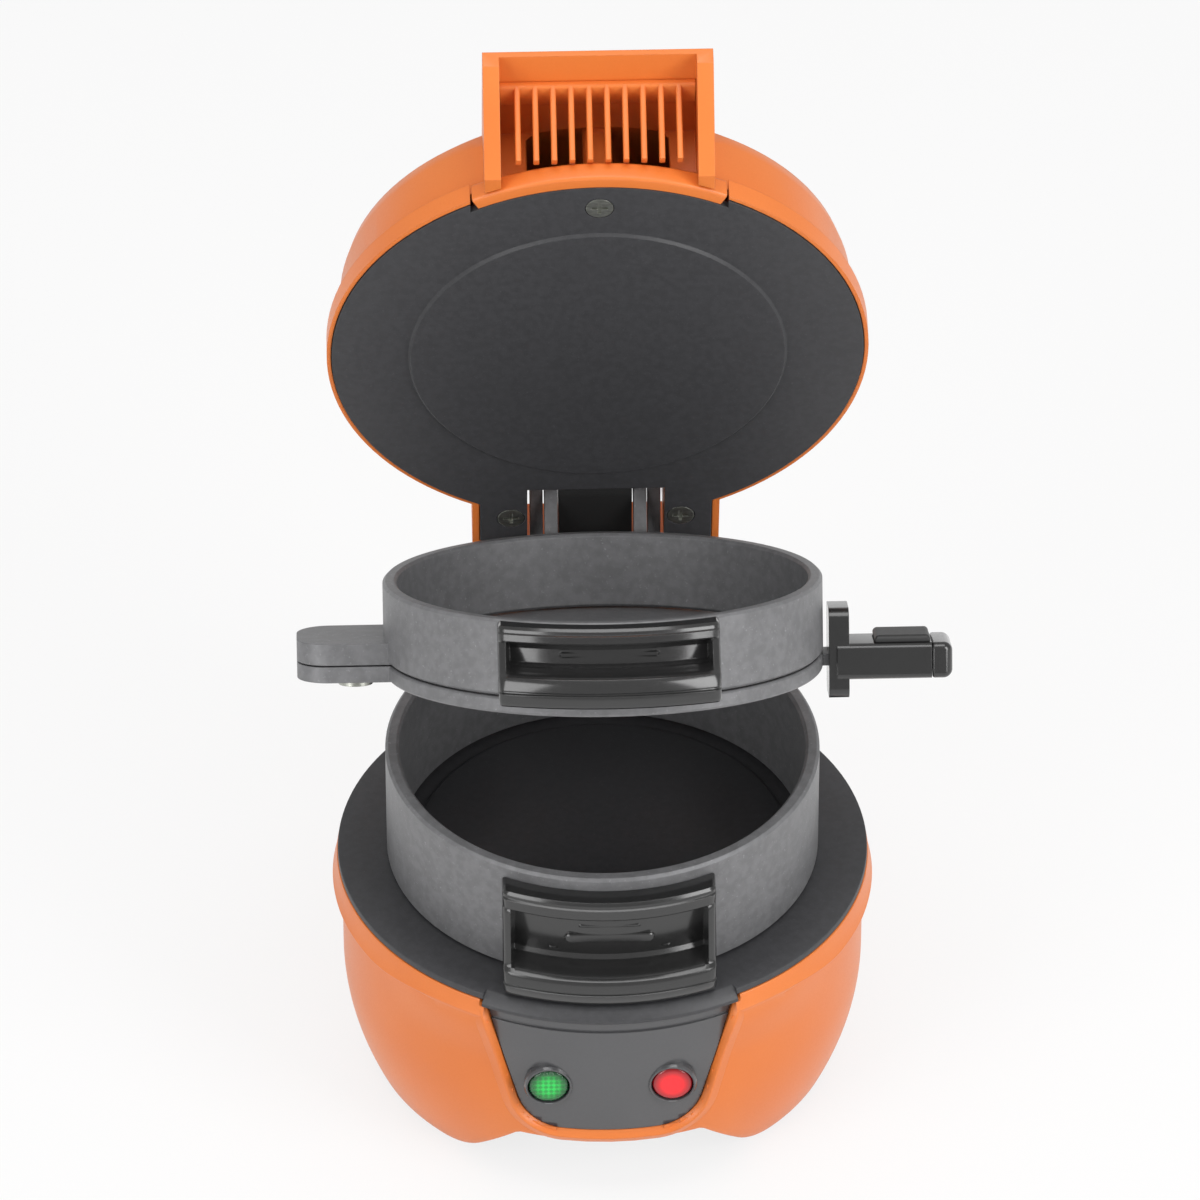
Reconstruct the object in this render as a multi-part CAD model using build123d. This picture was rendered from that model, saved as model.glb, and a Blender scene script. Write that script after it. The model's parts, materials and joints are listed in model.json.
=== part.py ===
from build123d import *
import os
from math import cos, radians, sin, sqrt

# Breakfast sandwich maker: a round base with a hot deck, two rings, a swinging egg plate and a
# domed lid, all hinged on one pin at the back.
# Millimetres. Origin: base axis on the surface it stands on. +Z up, -Y is the front with the
# lamps, +X is the side of the egg plate's handle.
# Every piece is drawn in the closed stack and then turned about the hinge pin to its rest pose.

os.makedirs("parts", exist_ok=True)

# ---------------------------------------------------------------- rest pose (degrees)
LOWER_RING_OPEN = 0.0
UPPER_RING_OPEN = 25.4
LID_OPEN = 75.4

# ---------------------------------------------------------------- overall sizes
RING_RADIUS = 54.0          # outside of both rings
RING_WALL = 3.5
RING_EDGE = 0.7             # broken edges of the cast rims
LOWER_RING_HEIGHT = 31.3
UPPER_RING_HEIGHT = 18.8
EGG_PLATE_THICKNESS = 4.0
DECK_Z = 61.0               # top of the cooking deck above the table
DECK_RADIUS = RING_RADIUS + 11.0
LID_RADIUS = RING_RADIUS + 12.6     # orange rim of the lid
LID_HEIGHT = 30.6           # dome above the lid's cooking face

# ---------------------------------------------------------------- clearances
STACK_GAP = 0.3             # between stacked pieces that lift apart
EGG_GAP = 0.4               # egg plate under the upper ring
LID_GAP = 0.9               # lid plate above the upper ring
FIT_GAP = 0.05              # radial running fit of shafts and screws
SEAT_GAP = 0.15             # plastic insert in its pocket
ROOM_GAP = 0.3              # loose room around a fixed neighbour
OVER = 1.0                  # how far a cutter runs past the face that it opens
FAR = 200.0                 # beyond the whole object

# ---------------------------------------------------------------- stack heights that follow
LOWER_RING_Z = DECK_Z + STACK_GAP
EGG_PLATE_Z = LOWER_RING_Z + LOWER_RING_HEIGHT + STACK_GAP
EGG_PLATE_TOP_Z = EGG_PLATE_Z + EGG_PLATE_THICKNESS
UPPER_RING_Z = EGG_PLATE_TOP_Z + EGG_GAP
LID_Z = UPPER_RING_Z + UPPER_RING_HEIGHT + LID_GAP

# ---------------------------------------------------------------- hinge
PIN_RADIUS = 2.5
PIN_Y = RING_RADIUS + 8.5
PIN_RISE = 11.0             # pin above the lid's cooking face
PIN_Z = LID_Z + PIN_RISE
POST_HALF_WIDTH = 9.2
ARM_GAP = 0.4
ARM_THICKNESS = 3.2
ARM_EYE_RADIUS = 5.5
ARM_FOOT_INSET = 6.0        # arm feet start this far inside the ring's outer skin
ARM_OUT = 5.0               # and reach this far outside it
ARM_SLIM = 3.2              # depth of an arm's upright at its root
UPPER_ARM_X = POST_HALF_WIDTH + ARM_GAP
LOWER_ARM_X = UPPER_ARM_X + ARM_THICKNESS + ARM_GAP
FORK_X = LOWER_ARM_X + ARM_THICKNESS + 2 * ARM_GAP     # inner face of the lid's fork
FORK_WALL = 2.0
NECK_HALF_WIDTH = FORK_X + 13.8
PIN_HALF_LENGTH = FORK_X + 9.0
KNUCKLE_RADIUS = 13.0
KNUCKLE_CLEARANCE = 1.4
SLOT_RADIUS = KNUCKLE_RADIUS + KNUCKLE_CLEARANCE
SLOT_FRONT_Y = PIN_Y - sqrt(SLOT_RADIUS ** 2 - PIN_RISE ** 2)
SLOT_OPEN_Y = PIN_Y + 6.2   # the slot is open to the top behind this line
POST_EYE_RADIUS = 6.5
PIN_PRESS = 0.01            # radial play of the pin in the post
CLIP_THICKNESS = 0.8
CLIP_PLAY = 0.05
CLIP_OUT = 2.2              # the clip stands this far out of the pin
CLIP_GROOVE = 0.5
CLIP_MOUTH_HALF = 1.4
KNUCKLE_TUBE_RADIUS = 6.0
KNUCKLE_TUBE_LENGTH = 7.0
CLIP_X = FORK_X + KNUCKLE_TUBE_LENGTH + 0.2

# ---------------------------------------------------------------- base housing
WALL = 2.5
SKIRT_Z = 1.5               # lower edge of the housing
FOOT_RADIUS = DECK_RADIUS - 6.4
WAIST_Z = 31.0
WAIST_RADIUS = DECK_RADIUS + 0.3
LIP_RADIUS = DECK_RADIUS + 2.7      # rim that overhangs the wall below the deck
LIP_Z = DECK_Z - 8.5
LIP_UNDERCUT = 1.5
LIP_EDGE = 2.5
LIP_SHOULDER = 1.4
SKIN_STEPS = 8
DECK_RIM = 2.0              # thickness of the deck's rim
SEAT_Z = DECK_Z - DECK_RIM
FLANGE_THICKNESS = 2.5
FLANGE_Z = SEAT_Z - FLANGE_THICKNESS
FLANGE_INNER_RADIUS = DECK_RADIUS - 7.0
ARCH_Z = 17.0
ARCH_TOP_HALF = 22.0
ARCH_FOOT_HALF = 35.6
ARCH_FOOT_CORNER = 12.0
FOOT_POST_RADIUS = 6.5
FOOT_POST_X = FOOT_RADIUS - 20.6
FOOT_POST_Y = FOOT_RADIUS - 27.1
FOOT_RIB_HALF = 1.2
RUBBER_RADIUS = 5.0
RUBBER_PLAY = 0.1
RUBBER_RECESS = 1.5
COVER_Z = ARCH_Z
COVER_THICKNESS = 2.4
COVER_TOP_Z = COVER_Z + COVER_THICKNESS
COVER_GAP = 0.4
COVER_SHANK = 1.4
COVER_SHANK_LENGTH = 9.0
COVER_HEAD = 3.0
COVER_HEAD_HEIGHT = 1.8
COVER_SLOT_ROWS = 3         # rows of vent slots either side of the middle one
COVER_SLOT_PITCH = 6.0
COVER_SLOT_HALF = 1.2
COVER_SLOT_REACH = 18.0
COLUMN_RADIUS = 3.6
COLUMN_TOP_Z = 34.0
COLUMN_X = FOOT_RADIUS - 14.6
COLUMN_Y = 20.0
COLUMN_RIB_HALF = 1.0

# ---------------------------------------------------------------- control panel
PANEL_TOP_Z = DECK_Z - 3.7
PANEL_BOTTOM_Z = ARCH_Z + 3.8
PANEL_TOP_HALF = 30.3
PANEL_BOTTOM_HALF = 20.5
PANEL_CORNER = 11.0
PANEL_THICKNESS = 2.0
PANEL_CREASE_Z = DECK_Z - 16.5
PANEL_TOP_RADIUS = DECK_RADIUS + 0.2
PANEL_CREASE_RADIUS = DECK_RADIUS + 0.1
PANEL_BOTTOM_RADIUS = DECK_RADIUS - 1.2
PANEL_BACK_Y = RING_RADIUS - 14.0   # cutters for the panel start this far in front
FRAME_WIDTH = 3.8
FRAME_PROUD = 1.0           # above the skin around it
FRAME_LEDGE = 2.1
FRAME_BACK = 2.0            # thickness of the ledge behind the panel
LAMP_X = 15.3
LAMP_Z = PANEL_BOTTOM_Z + 14.5
LENS_RADIUS = 5.1
LENS_EDGE = 1.2
LENS_FLANGE = 1.3
LENS_FLANGE_THICKNESS = 1.5
LENS_FRONT_Y = -(DECK_RADIUS - 0.8)
LENS_WALL = 2.4
LAMP_PLAY = 0.1
LAMP_LENGTH = 14.0
LAMP_FRONT_Y = LENS_FRONT_Y + LENS_WALL + 0.2
LAMP_BACK_Y = LAMP_FRONT_Y + LAMP_LENGTH

# ---------------------------------------------------------------- hinge tower of the housing
TOWER_HALF_WIDTH = POST_HALF_WIDTH + 18.8
TOWER_FRONT_Y = RING_RADIUS + 10.0
TOWER_BACK_Y = TOWER_FRONT_Y + 16.0
TOWER_BOTTOM_Z = ARCH_Z + 1.0
TOWER_TOP_Z = PIN_Z - 21.0
TOWER_CORNER = 5.0
TOWER_ROOT_Y = TOWER_FRONT_Y - 19.0     # the tower's floor starts here, inside the housing
POST_FRONT_Y = TOWER_FRONT_Y + WALL + 0.1
POST_BACK_Y = PIN_Y + 8.9
POST_FOOT_Z = DECK_Z - 9.0
POST_SHELF_Z = TOWER_TOP_Z + ROOM_GAP
POST_SCREW_ZS = (DECK_Z + 1.0, DECK_Z + 27.0)
POST_BOSS_RADIUS = 5.0
POST_SHANK = 1.6
POST_SHANK_LENGTH = 9.5
POST_SCREW_HEAD = 3.0
POST_HEAD_HEIGHT = 1.8
POST_HEAD_SINK = 2.6
DECK_BACK_Y = TOWER_FRONT_Y - 0.6
GROMMET_NECK = 5.0
GROMMET_COLLAR = 7.5
GROMMET_LIP = 6.7
GROMMET_OUT = 3.0
GROMMET_LENGTH = 13.0
GROMMET_Z = 32.0
GROMMET_BORE = 3.5

# ---------------------------------------------------------------- cooking plates and heaters
PAD_RADIUS = RING_RADIUS - RING_WALL - 4.0
PAD_HEIGHT = 0.8
PAD_CHAMFER = 0.5
DECK_THICKNESS = 6.0
DECK_BACK_Z = DECK_Z - DECK_THICKNESS
PLATE_CORE_RADIUS = DECK_RADIUS - 9.0
PLATE_CORE_DRAFT = 0.6
APRON_HALF = 31.0
APRON_RADIUS = DECK_RADIUS + 1.4
APRON_ROOT_RADIUS = DECK_RADIUS - 5.4
APRON_CREST_RADIUS = DECK_RADIUS - 1.5
APRON_DROP = 3.2
APRON_EDGE = 1.2
DECK_SHANK = 1.5
DECK_HEAD = 2.9
DECK_HEAD_HEIGHT = 2.0
DECK_SCREW_RADIUS = DECK_RADIUS - 4.5
DECK_SCREW_BITE = 1.3
DECK_SCREW_ANGLES = (20, 160, 215, 325)
ELEMENT_RADIUS = RING_RADIUS - 18.0
ELEMENT_TUBE = 3.3
ELEMENT_SWEEP = 320.0
TERMINAL_RADIUS = 2.0
TERMINAL_LENGTH = 13.0
SHIELD_RADIUS = RING_RADIUS - 10.0
SHIELD_DEPTH = 8.6
SHIELD_SHEET = 1.0
SHIELD_SHANK = 1.6
SHIELD_HEAD = 4.0
SHIELD_HEAD_HEIGHT = 2.2
PLATE_SPIGOT_RADIUS = 5.0
THERMOSTAT_X = 19.0
THERMOSTAT_RADIUS = 8.0
THERMOSTAT_HEIGHT = 6.0
THERMOSTAT_STEM_RADIUS = 3.0
THERMOSTAT_STEM = 1.4
FUSE_RADIUS = 2.0
FUSE_X = -19.0
FUSE_HALF = 7.0
FUSE_LEG_HALF = 11.0
FUSE_LEG_RADIUS = 0.8
LEAD_RADIUS = 1.1
LEAD_BEND = 3.0
BLOCK_HALF = 15.0
BLOCK_DEPTH_HALF = 6.0
BLOCK_HEIGHT = 9.0
BLOCK_FLOOR = 4.0
BLOCK_HOLE = 1.6
BLOCK_HOLE_XS = (-9, 0, 9)
BLOCK_Y = 8.0
MAINS_LEAD_X = 12.3
LAMP_LEAD_X = 5.5

# ---------------------------------------------------------------- grips of the rings
GRIP_BACK_GAP = 0.1
GRIP_SKIN = 2.8
GRIP_EDGE = 1.0
GRIP_UNDERCUT = 0.6
GRIP_CHEEK = 2.3            # wall that closes each end of the hollow for the fingers
LOWER_GRIP_HALF = 26.15
LOWER_GRIP_LIFT = 0.7
LOWER_GRIP_HEIGHT = LOWER_RING_HEIGHT - 4.0
LOWER_GRIP_TOP_LIP = 5.0
UPPER_GRIP_TOP_LIP = 4.0
UPPER_GRIP_HALF = 26.75
UPPER_GRIP_HEIGHT = UPPER_RING_HEIGHT - 0.2
LOWER_LIP_OUT = 12.0
UPPER_LIP_OUT = 6.0
LOWER_LIP_HEIGHT = 8.0
GRIP_TAB_HALF = 16.0
GRIP_TAB_OUT = 8.5
GRIP_TAB_THICKNESS = 3.0
GRIP_TAB_RISE = 2.5
GRIP_SCREW_X = 11.0
GRIP_SCREW_OUT = 5.0
GRIP_SHANK = 1.3
GRIP_HEAD = 2.6
GRIP_HEAD_ROOM = 0.2
GRIP_HEAD_HEIGHT = 1.5
GRIP_HEAD_SINK = 1.8
GRIP_HOLE_ROOF = 0.8

# ---------------------------------------------------------------- egg plate
PIVOT_X = -(RING_RADIUS + 7.0)
LUG_HALF = 11.0
LUG_TIP_X = -(RING_RADIUS + 21.3)
LUG_CORNER = 8.0
LUG_THICKNESS = 5.3
LUG_INSET = 6.0
PIVOT_RADIUS = 2.5
PIVOT_ROOF = 1.0            # metal left above the pivot's blind hole
PIVOT_HEAD = 4.2
PIVOT_HEAD_HEIGHT = 1.6
WASHER_RADIUS = 4.9
WASHER_THICKNESS = 0.8
WASHER_HOLE_PLAY = 0.1
EGG_PLATE_RADIUS = RING_RADIUS - 0.1
EGG_PLATE_EDGE = 0.5
TANG_HALF = 4.0
TANG_THICKNESS = 3.0
TANG_Z = EGG_PLATE_Z + (EGG_PLATE_THICKNESS - TANG_THICKNESS) / 2
TANG_ROOT = 4.0
TANG_END_X = RING_RADIUS + 18.0
GUARD_X = RING_RADIUS + 1.2
GUARD_THICKNESS = 5.0
GUARD_HALF = 6.5
GUARD_UP = 15.0
GUARD_DOWN = 7.6
GUARD_CORNER = 3.0
GUARD_OVERLAP = 2.0
HANDLE_END_X = RING_RADIUS + 31.6
HANDLE_CAP_LENGTH = 5.1
HANDLE_SEAM = 0.1
HANDLE_HALF = 7.0
HANDLE_DOWN = 2.7
HANDLE_UP = 6.3
HANDLE_CORNER = 1.6
HANDLE_NOSE = 2.2
HANDLE_BOTTOM_Z = EGG_PLATE_Z - HANDLE_DOWN
HANDLE_TOP_Z = EGG_PLATE_Z + HANDLE_UP
HANDLE_SCREW_X = RING_RADIUS + 13.0
HANDLE_SCREW_SINK = 1.7
HANDLE_SCREW_LENGTH = 5.8
THUMB_PAD_HEIGHT = 1.8
THUMB_PAD_START_X = RING_RADIUS + 12.5
THUMB_PAD_MARGIN = 1.4
THUMB_PAD_END_GAP = 0.3
THUMB_PAD_EDGE = 0.7

# ---------------------------------------------------------------- lid
LID_RIM_HEIGHT = 5.8
LID_RIM_LIFT = 0.4          # the orange rim stands this far behind the cooking face
LID_WALL_RADIUS = LID_RADIUS - 3.6
LID_SHOULDER_Z = LID_HEIGHT - 10.6
LID_PLATE_RADIUS = LID_RADIUS - 1.2
LID_PLATE_THICKNESS = 2.0
LID_PLATE_PLAY = 0.2
LID_PLATE_FRONT_CUT = 2.2
LID_CORE_HEIGHT = 5.0
LID_BACK_Z = LID_Z + LID_CORE_HEIGHT
NECK_FRONT_Y = 35.0         # inside the dome
NECK_BACK_Y = PIN_Y + 13.0
NECK_TOP_Z = LID_HEIGHT - 1.0
BARREL_WALL = 2.4
BARREL_ROOM_Y = PIN_Y - 17.5
LID_SCREW_FRONT_Y = -(LID_RADIUS - 10.9)
LID_SCREW_BACK_X = FORK_X + 4.1
LID_SCREW_BACK_Y = PIN_Y + 2.0
LID_SCREW_FRONT_LENGTH = 10.0
LID_SCREW_BACK_LENGTH = 7.0     # stops below the hinge pin
LID_SCREW_TIP = 1.2
LID_BOSS_RADIUS = 3.6
LID_SHANK = 1.5
LID_SCREW_HEAD = 3.3
LID_HEAD_PLAY = 0.25
LID_HEAD_HEIGHT = 1.3           # sunk flush with the cooking face
LID_LEAD_X = FORK_X + 8.3
NOTCH_HALF = 31.0
HOOD_HALF = 27.75
HOOD_CHEEK = 4.0
HOOD_FRONT_Y = -(LID_RADIUS + 19.6)
HOOD_BACK_Y = -(LID_RADIUS - 18.6)
HOOD_CREST_Y = -(LID_RADIUS - 6.6)
HOOD_LIP_Z = LID_HEIGHT - 11.1
HOOD_LIP_TOP_Z = LID_HEIGHT - 4.9
HOOD_CEILING_Z = LID_HEIGHT - 8.4
FIN_COUNT = 10
FIN_PITCH = 4.33
FIN_THICKNESS = 1.4
FIN_DEPTH = 4.2
FIN_LEAN = 6.4
FIN_ROOT = 0.5
GRILLE_RAIL_HEIGHT = 2.0
GRILLE_RAIL_DEPTH = FIN_DEPTH + 2.0
GRILLE_GAP = 0.25
SILL_INNER_RADIUS = LID_RADIUS - 6.0
SILL_DROP = 0.3

# ---------------------------------------------------------------- screws
CROSS_HALF_WIDTH = 0.4      # cross recess of every screw
CROSS_DEPTH = 0.8
CROSS_REACH = 0.6           # of the head's radius

HINGE_AXIS = Axis((0, PIN_Y, PIN_Z), (-1, 0, 0))


# ---------------------------------------------------------------- drawing helpers
def turned(profile):
    """Solid of revolution about the vertical axis from (radius, height) corners."""
    outline = Polyline(*[(radius, 0, z) for radius, z in profile], close=True)
    return revolve(make_face(outline), Axis.Z)


def post(radius, x, y, bottom, top):
    """Upright cylinder at a place in plan."""
    low, high = sorted((bottom, top))
    return Pos(x, y, (low + high) / 2) * Cylinder(radius, high - low)


def disc(radius, bottom, top):
    """Upright cylinder on the base axis."""
    return post(radius, 0, 0, bottom, top)


def block(x_range, y_range, z_range):
    """Box between two corners."""
    spans = [sorted(pair) for pair in (x_range, y_range, z_range)]
    sizes = [high - low for low, high in spans]
    middle = [(high + low) / 2 for low, high in spans]
    return Pos(*middle) * Box(*sizes)


def front_block(half, back_y):
    """Box of every height in front of a line, for picking out the front of a round piece."""
    return block((-half, half), (-FAR, back_y), (0, FAR))


def across(radius, x_start, x_end, y, z):
    """Cylinder lying along X."""
    low, high = sorted((x_start, x_end))
    return Pos((low + high) / 2, y, z) * Rot(0, 90, 0) * Cylinder(radius, high - low)


def on_pin(radius, x_start, x_end):
    """Cylinder along X about the hinge pin's axis."""
    return across(radius, x_start, x_end, PIN_Y, PIN_Z)


def along(radius, x, z, y_start, y_end):
    """Cylinder lying along Y."""
    low, high = sorted((y_start, y_end))
    return Pos(x, (low + high) / 2, z) * Rot(90, 0, 0) * Cylinder(radius, high - low)


def side_plate(corners, x_start, x_end):
    """Flat plate from its (y, z) side view, between two places along X."""
    low, high = sorted((x_start, x_end))
    face = make_face(Polyline(*[(low, y, z) for y, z in corners], close=True))
    return extrude(face, amount=high - low, dir=(1, 0, 0))


def sheet_plate(outline, bottom, top):
    """Flat plate from a plan outline, between two heights."""
    return extrude(Pos(0, 0, bottom) * outline, amount=top - bottom)


def screw(head_radius, head_height, shank_radius, length, x, y, z, up=1):
    """Cross-recess screw whose shank points up (up=1) or down (up=-1) from under the head at z."""
    face_z = z - up * head_height
    head = post(head_radius, x, y, z, face_z)
    shank = post(shank_radius, x, y, z, z + up * length)
    reach = head_radius * CROSS_REACH
    depth_range = (face_z, face_z + up * CROSS_DEPTH)
    wide = (-reach, reach)
    narrow = (-CROSS_HALF_WIDTH, CROSS_HALF_WIDTH)
    cross = Pos(x, y, 0) * block(wide, narrow, depth_range)
    cross += Pos(x, y, 0) * block(narrow, wide, depth_range)
    return head + shank - cross


def save(name, shapes, angle):
    """Write the solids of one sub-part, turned about the pin to the rest pose, front edge up."""
    solids = [solid for shape in shapes for solid in shape.solids()]
    placed = [solid.rotate(HINGE_AXIS, angle) for solid in solids]
    target = placed[0] if len(placed) == 1 else Compound(placed)
    export_step(target, "parts/" + name + ".step")


# ================================================================ base
def housing_radius(z):
    """Outside radius of the base housing below its waist."""
    drop = (WAIST_Z - z) / (WAIST_Z - SKIRT_Z)
    return WAIST_RADIUS - (WAIST_RADIUS - FOOT_RADIUS) * drop * drop


def housing_profile(inset, bottom, top):
    """(radius, height) points of the housing's outer skin, moved inwards by inset."""
    heights = [SKIRT_Z + (WAIST_Z - SKIRT_Z) * step / SKIN_STEPS for step in range(SKIN_STEPS + 1)]
    points = [(housing_radius(bottom) - inset, bottom)]
    points += [(housing_radius(z) - inset, z) for z in heights if z > bottom]
    points += [
        (WAIST_RADIUS - inset, LIP_Z - LIP_UNDERCUT), (LIP_RADIUS - inset, LIP_Z),
        (LIP_RADIUS - inset, LIP_Z + LIP_EDGE), (LIP_RADIUS - LIP_SHOULDER - inset, top),
    ]
    return points


def housing_fill(inset, bottom, top):
    """Everything between the housing's skin and the base axis."""
    return turned(housing_profile(inset, bottom, top) + [(0, top), (0, bottom)])


def panel_radius(z):
    """Front surface of the control panel at a height."""
    if z > PANEL_CREASE_Z:
        share = (z - PANEL_CREASE_Z) / (PANEL_TOP_Z - PANEL_CREASE_Z)
        return PANEL_CREASE_RADIUS + (PANEL_TOP_RADIUS - PANEL_CREASE_RADIUS) * share
    share = (z - PANEL_BOTTOM_Z) / (PANEL_CREASE_Z - PANEL_BOTTOM_Z)
    return PANEL_BOTTOM_RADIUS + (PANEL_CREASE_RADIUS - PANEL_BOTTOM_RADIUS) * share


def panel_outline(growth):
    """Front view of the control panel, grown on every side."""
    corners = [
        (-PANEL_TOP_HALF, PANEL_TOP_Z), (-PANEL_BOTTOM_HALF, PANEL_BOTTOM_Z),
        (PANEL_BOTTOM_HALF, PANEL_BOTTOM_Z), (PANEL_TOP_HALF, PANEL_TOP_Z),
    ]
    flat = make_face(Polyline(*corners, close=True))
    low = [vertex for vertex in flat.vertices() if vertex.Y < PANEL_CREASE_Z]
    flat = fillet(low, PANEL_CORNER)
    if growth:
        flat = offset(flat, amount=growth, kind=Kind.INTERSECTION)
    return flat


def panel_prism(growth):
    """Panel outline carried through the front wall."""
    return extrude(Plane.XZ.offset(PANEL_BACK_Y) * panel_outline(growth), amount=PANEL_BACK_Y)


def panel_shell(outer_growth, inner_depth, bottom, top):
    """Curved layer parallel to the panel's front surface, between a growth and a depth."""
    heights = (bottom, PANEL_BOTTOM_Z, PANEL_CREASE_Z, PANEL_TOP_Z, top)
    outer = [(panel_radius(z) + outer_growth, z) for z in heights]
    inner = [(panel_radius(z) - inner_depth, z) for z in reversed(heights)]
    return turned(outer + inner)


def tower_box(inset, bottom, top):
    """Upright hinge tower behind the base, moved inwards by inset."""
    half = TOWER_HALF_WIDTH - inset
    core = block((-half, half), (TOWER_FRONT_Y + inset, TOWER_BACK_Y - inset), (bottom, top))
    uprights = core.edges().filter_by(Axis.Z).group_by(Axis.Y)[-1]
    return fillet(uprights, TOWER_CORNER - inset)


def foot_places():
    return [(x, y) for x in (-FOOT_POST_X, FOOT_POST_X) for y in (-FOOT_POST_Y, FOOT_POST_Y)]


def cover_screw_places():
    return [(x, y) for x in (-COLUMN_X, COLUMN_X) for y in (-COLUMN_Y, COLUMN_Y)]


def deck_screw_places():
    return [
        (DECK_SCREW_RADIUS * cos(radians(angle)), DECK_SCREW_RADIUS * sin(radians(angle)))
        for angle in DECK_SCREW_ANGLES
    ]


def housing_walls():
    """Thin round wall with the hinge tower growing out of its back, and the arches cut out."""
    body = housing_fill(0, SKIRT_Z, SEAT_Z)
    hollow = housing_fill(WALL, SKIRT_Z - OVER, FLANGE_Z)
    tower = tower_box(0, TOWER_BOTTOM_Z, TOWER_TOP_Z)
    root = block(
        (-TOWER_HALF_WIDTH, TOWER_HALF_WIDTH), (TOWER_ROOT_Y, TOWER_FRONT_Y + OVER),
        (TOWER_BOTTOM_Z, SEAT_Z),
    )
    tower_hollow = tower_box(WALL, TOWER_BOTTOM_Z + WALL, TOWER_TOP_Z - WALL)
    inner_half = TOWER_HALF_WIDTH - WALL
    tower_hollow += block(
        (-inner_half, inner_half), (TOWER_ROOT_Y - 2 * WALL, TOWER_FRONT_Y + WALL + OVER),
        (TOWER_BOTTOM_Z + WALL, FLANGE_Z),
    )
    walls = body + tower + root - hollow - tower_hollow
    walls -= disc(FLANGE_INNER_RADIUS, FLANGE_Z - OVER, SEAT_Z + OVER)
    arch = [
        (-FAR / 2, 0), (FAR / 2, 0), (FAR / 2, SKIRT_Z), (ARCH_FOOT_HALF, SKIRT_Z), (ARCH_TOP_HALF, ARCH_Z),
        (-ARCH_TOP_HALF, ARCH_Z), (-ARCH_FOOT_HALF, SKIRT_Z), (-FAR / 2, SKIRT_Z),
    ]
    arch_face = make_face(Polyline(*arch, close=True))
    foot_corners = [v for v in arch_face.vertices() if abs(abs(v.X) - ARCH_FOOT_HALF) < OVER]
    arch_face = fillet(foot_corners, ARCH_FOOT_CORNER)
    return walls - extrude(Plane.XZ.offset(-FAR / 2) * arch_face, amount=FAR)


def with_panel_frame(walls):
    """Add the raised frame round the panel, with a ledge that the panel lands on."""
    low = ARCH_Z + 0.5
    high = SEAT_Z - 0.5
    behind = panel_shell(-PANEL_THICKNESS - FRAME_BACK, FAR / 4, low, high)
    walls += panel_prism(FRAME_WIDTH) & (housing_fill(-FRAME_PROUD, low, high) - behind)
    above_panel = PANEL_TOP_Z + ROOM_GAP
    walls -= panel_prism(-FRAME_LEDGE) & disc(FAR, 0, above_panel)
    pocket = panel_shell(FAR, PANEL_THICKNESS + FIT_GAP, 0, above_panel)
    walls -= panel_prism(SEAT_GAP) & pocket
    apron_room = turned([
        (APRON_ROOT_RADIUS - STACK_GAP, PANEL_TOP_Z + 0.1), (FAR, PANEL_TOP_Z + 0.1),
        (FAR, SEAT_Z + OVER), (APRON_ROOT_RADIUS - STACK_GAP, SEAT_Z + OVER),
    ])
    return walls - (front_block(APRON_HALF + ROOM_GAP, -PANEL_BACK_Y) & apron_room)


def base_housing():
    body = housing_fill(0, SKIRT_Z, SEAT_Z)
    shell = with_panel_frame(housing_walls())
    # Posts for the rubber feet and columns for the bottom cover's screws, each with a rib.
    for x, y in foot_places():
        foot = post(FOOT_POST_RADIUS, x, y, SKIRT_Z, ARCH_Z)
        foot += block((x, 2 * x), (y - FOOT_RIB_HALF, y + FOOT_RIB_HALF), (SKIRT_Z, ARCH_Z))
        shell += foot & body
        shell -= post(RUBBER_RADIUS + RUBBER_PLAY, x, y, SKIRT_Z - OVER, SKIRT_Z + RUBBER_RECESS)
    for x, y in cover_screw_places():
        column = post(COLUMN_RADIUS, x, y, COVER_TOP_Z, COLUMN_TOP_Z)
        column += block((x, 2 * x), (y - COLUMN_RIB_HALF, y + COLUMN_RIB_HALF), (COVER_TOP_Z, COLUMN_TOP_Z))
        shell += column & body
        shell -= post(COVER_SHANK + FIT_GAP, x, y, COVER_TOP_Z - OVER, COVER_TOP_Z + COVER_SHANK_LENGTH)
    # Holes: deck screws, hinge post, post screws and cord grommet.
    for x, y in deck_screw_places():
        shell -= post(DECK_SHANK + FIT_GAP, x, y, FLANGE_Z - OVER, SEAT_Z + OVER)
    mouth_half = POST_HALF_WIDTH + SEAT_GAP
    shell -= block(
        (-mouth_half, mouth_half), (TOWER_FRONT_Y - OVER, POST_BACK_Y + SEAT_GAP),
        (TOWER_TOP_Z - WALL - OVER, TOWER_TOP_Z + OVER),
    )
    for z in POST_SCREW_ZS:
        shell += along(POST_BOSS_RADIUS, 0, z, POST_BACK_Y, TOWER_BACK_Y - OVER)
        shell -= along(POST_SHANK + FIT_GAP, 0, z, POST_BACK_Y - OVER, TOWER_BACK_Y + OVER)
        shell -= along(POST_SCREW_HEAD + ROOM_GAP, 0, z, TOWER_BACK_Y - POST_HEAD_SINK, TOWER_BACK_Y + OVER)
    shell -= along(GROMMET_NECK + FIT_GAP, 0, GROMMET_Z, TOWER_BACK_Y - WALL - OVER, TOWER_BACK_Y + OVER)
    return [shell]


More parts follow.
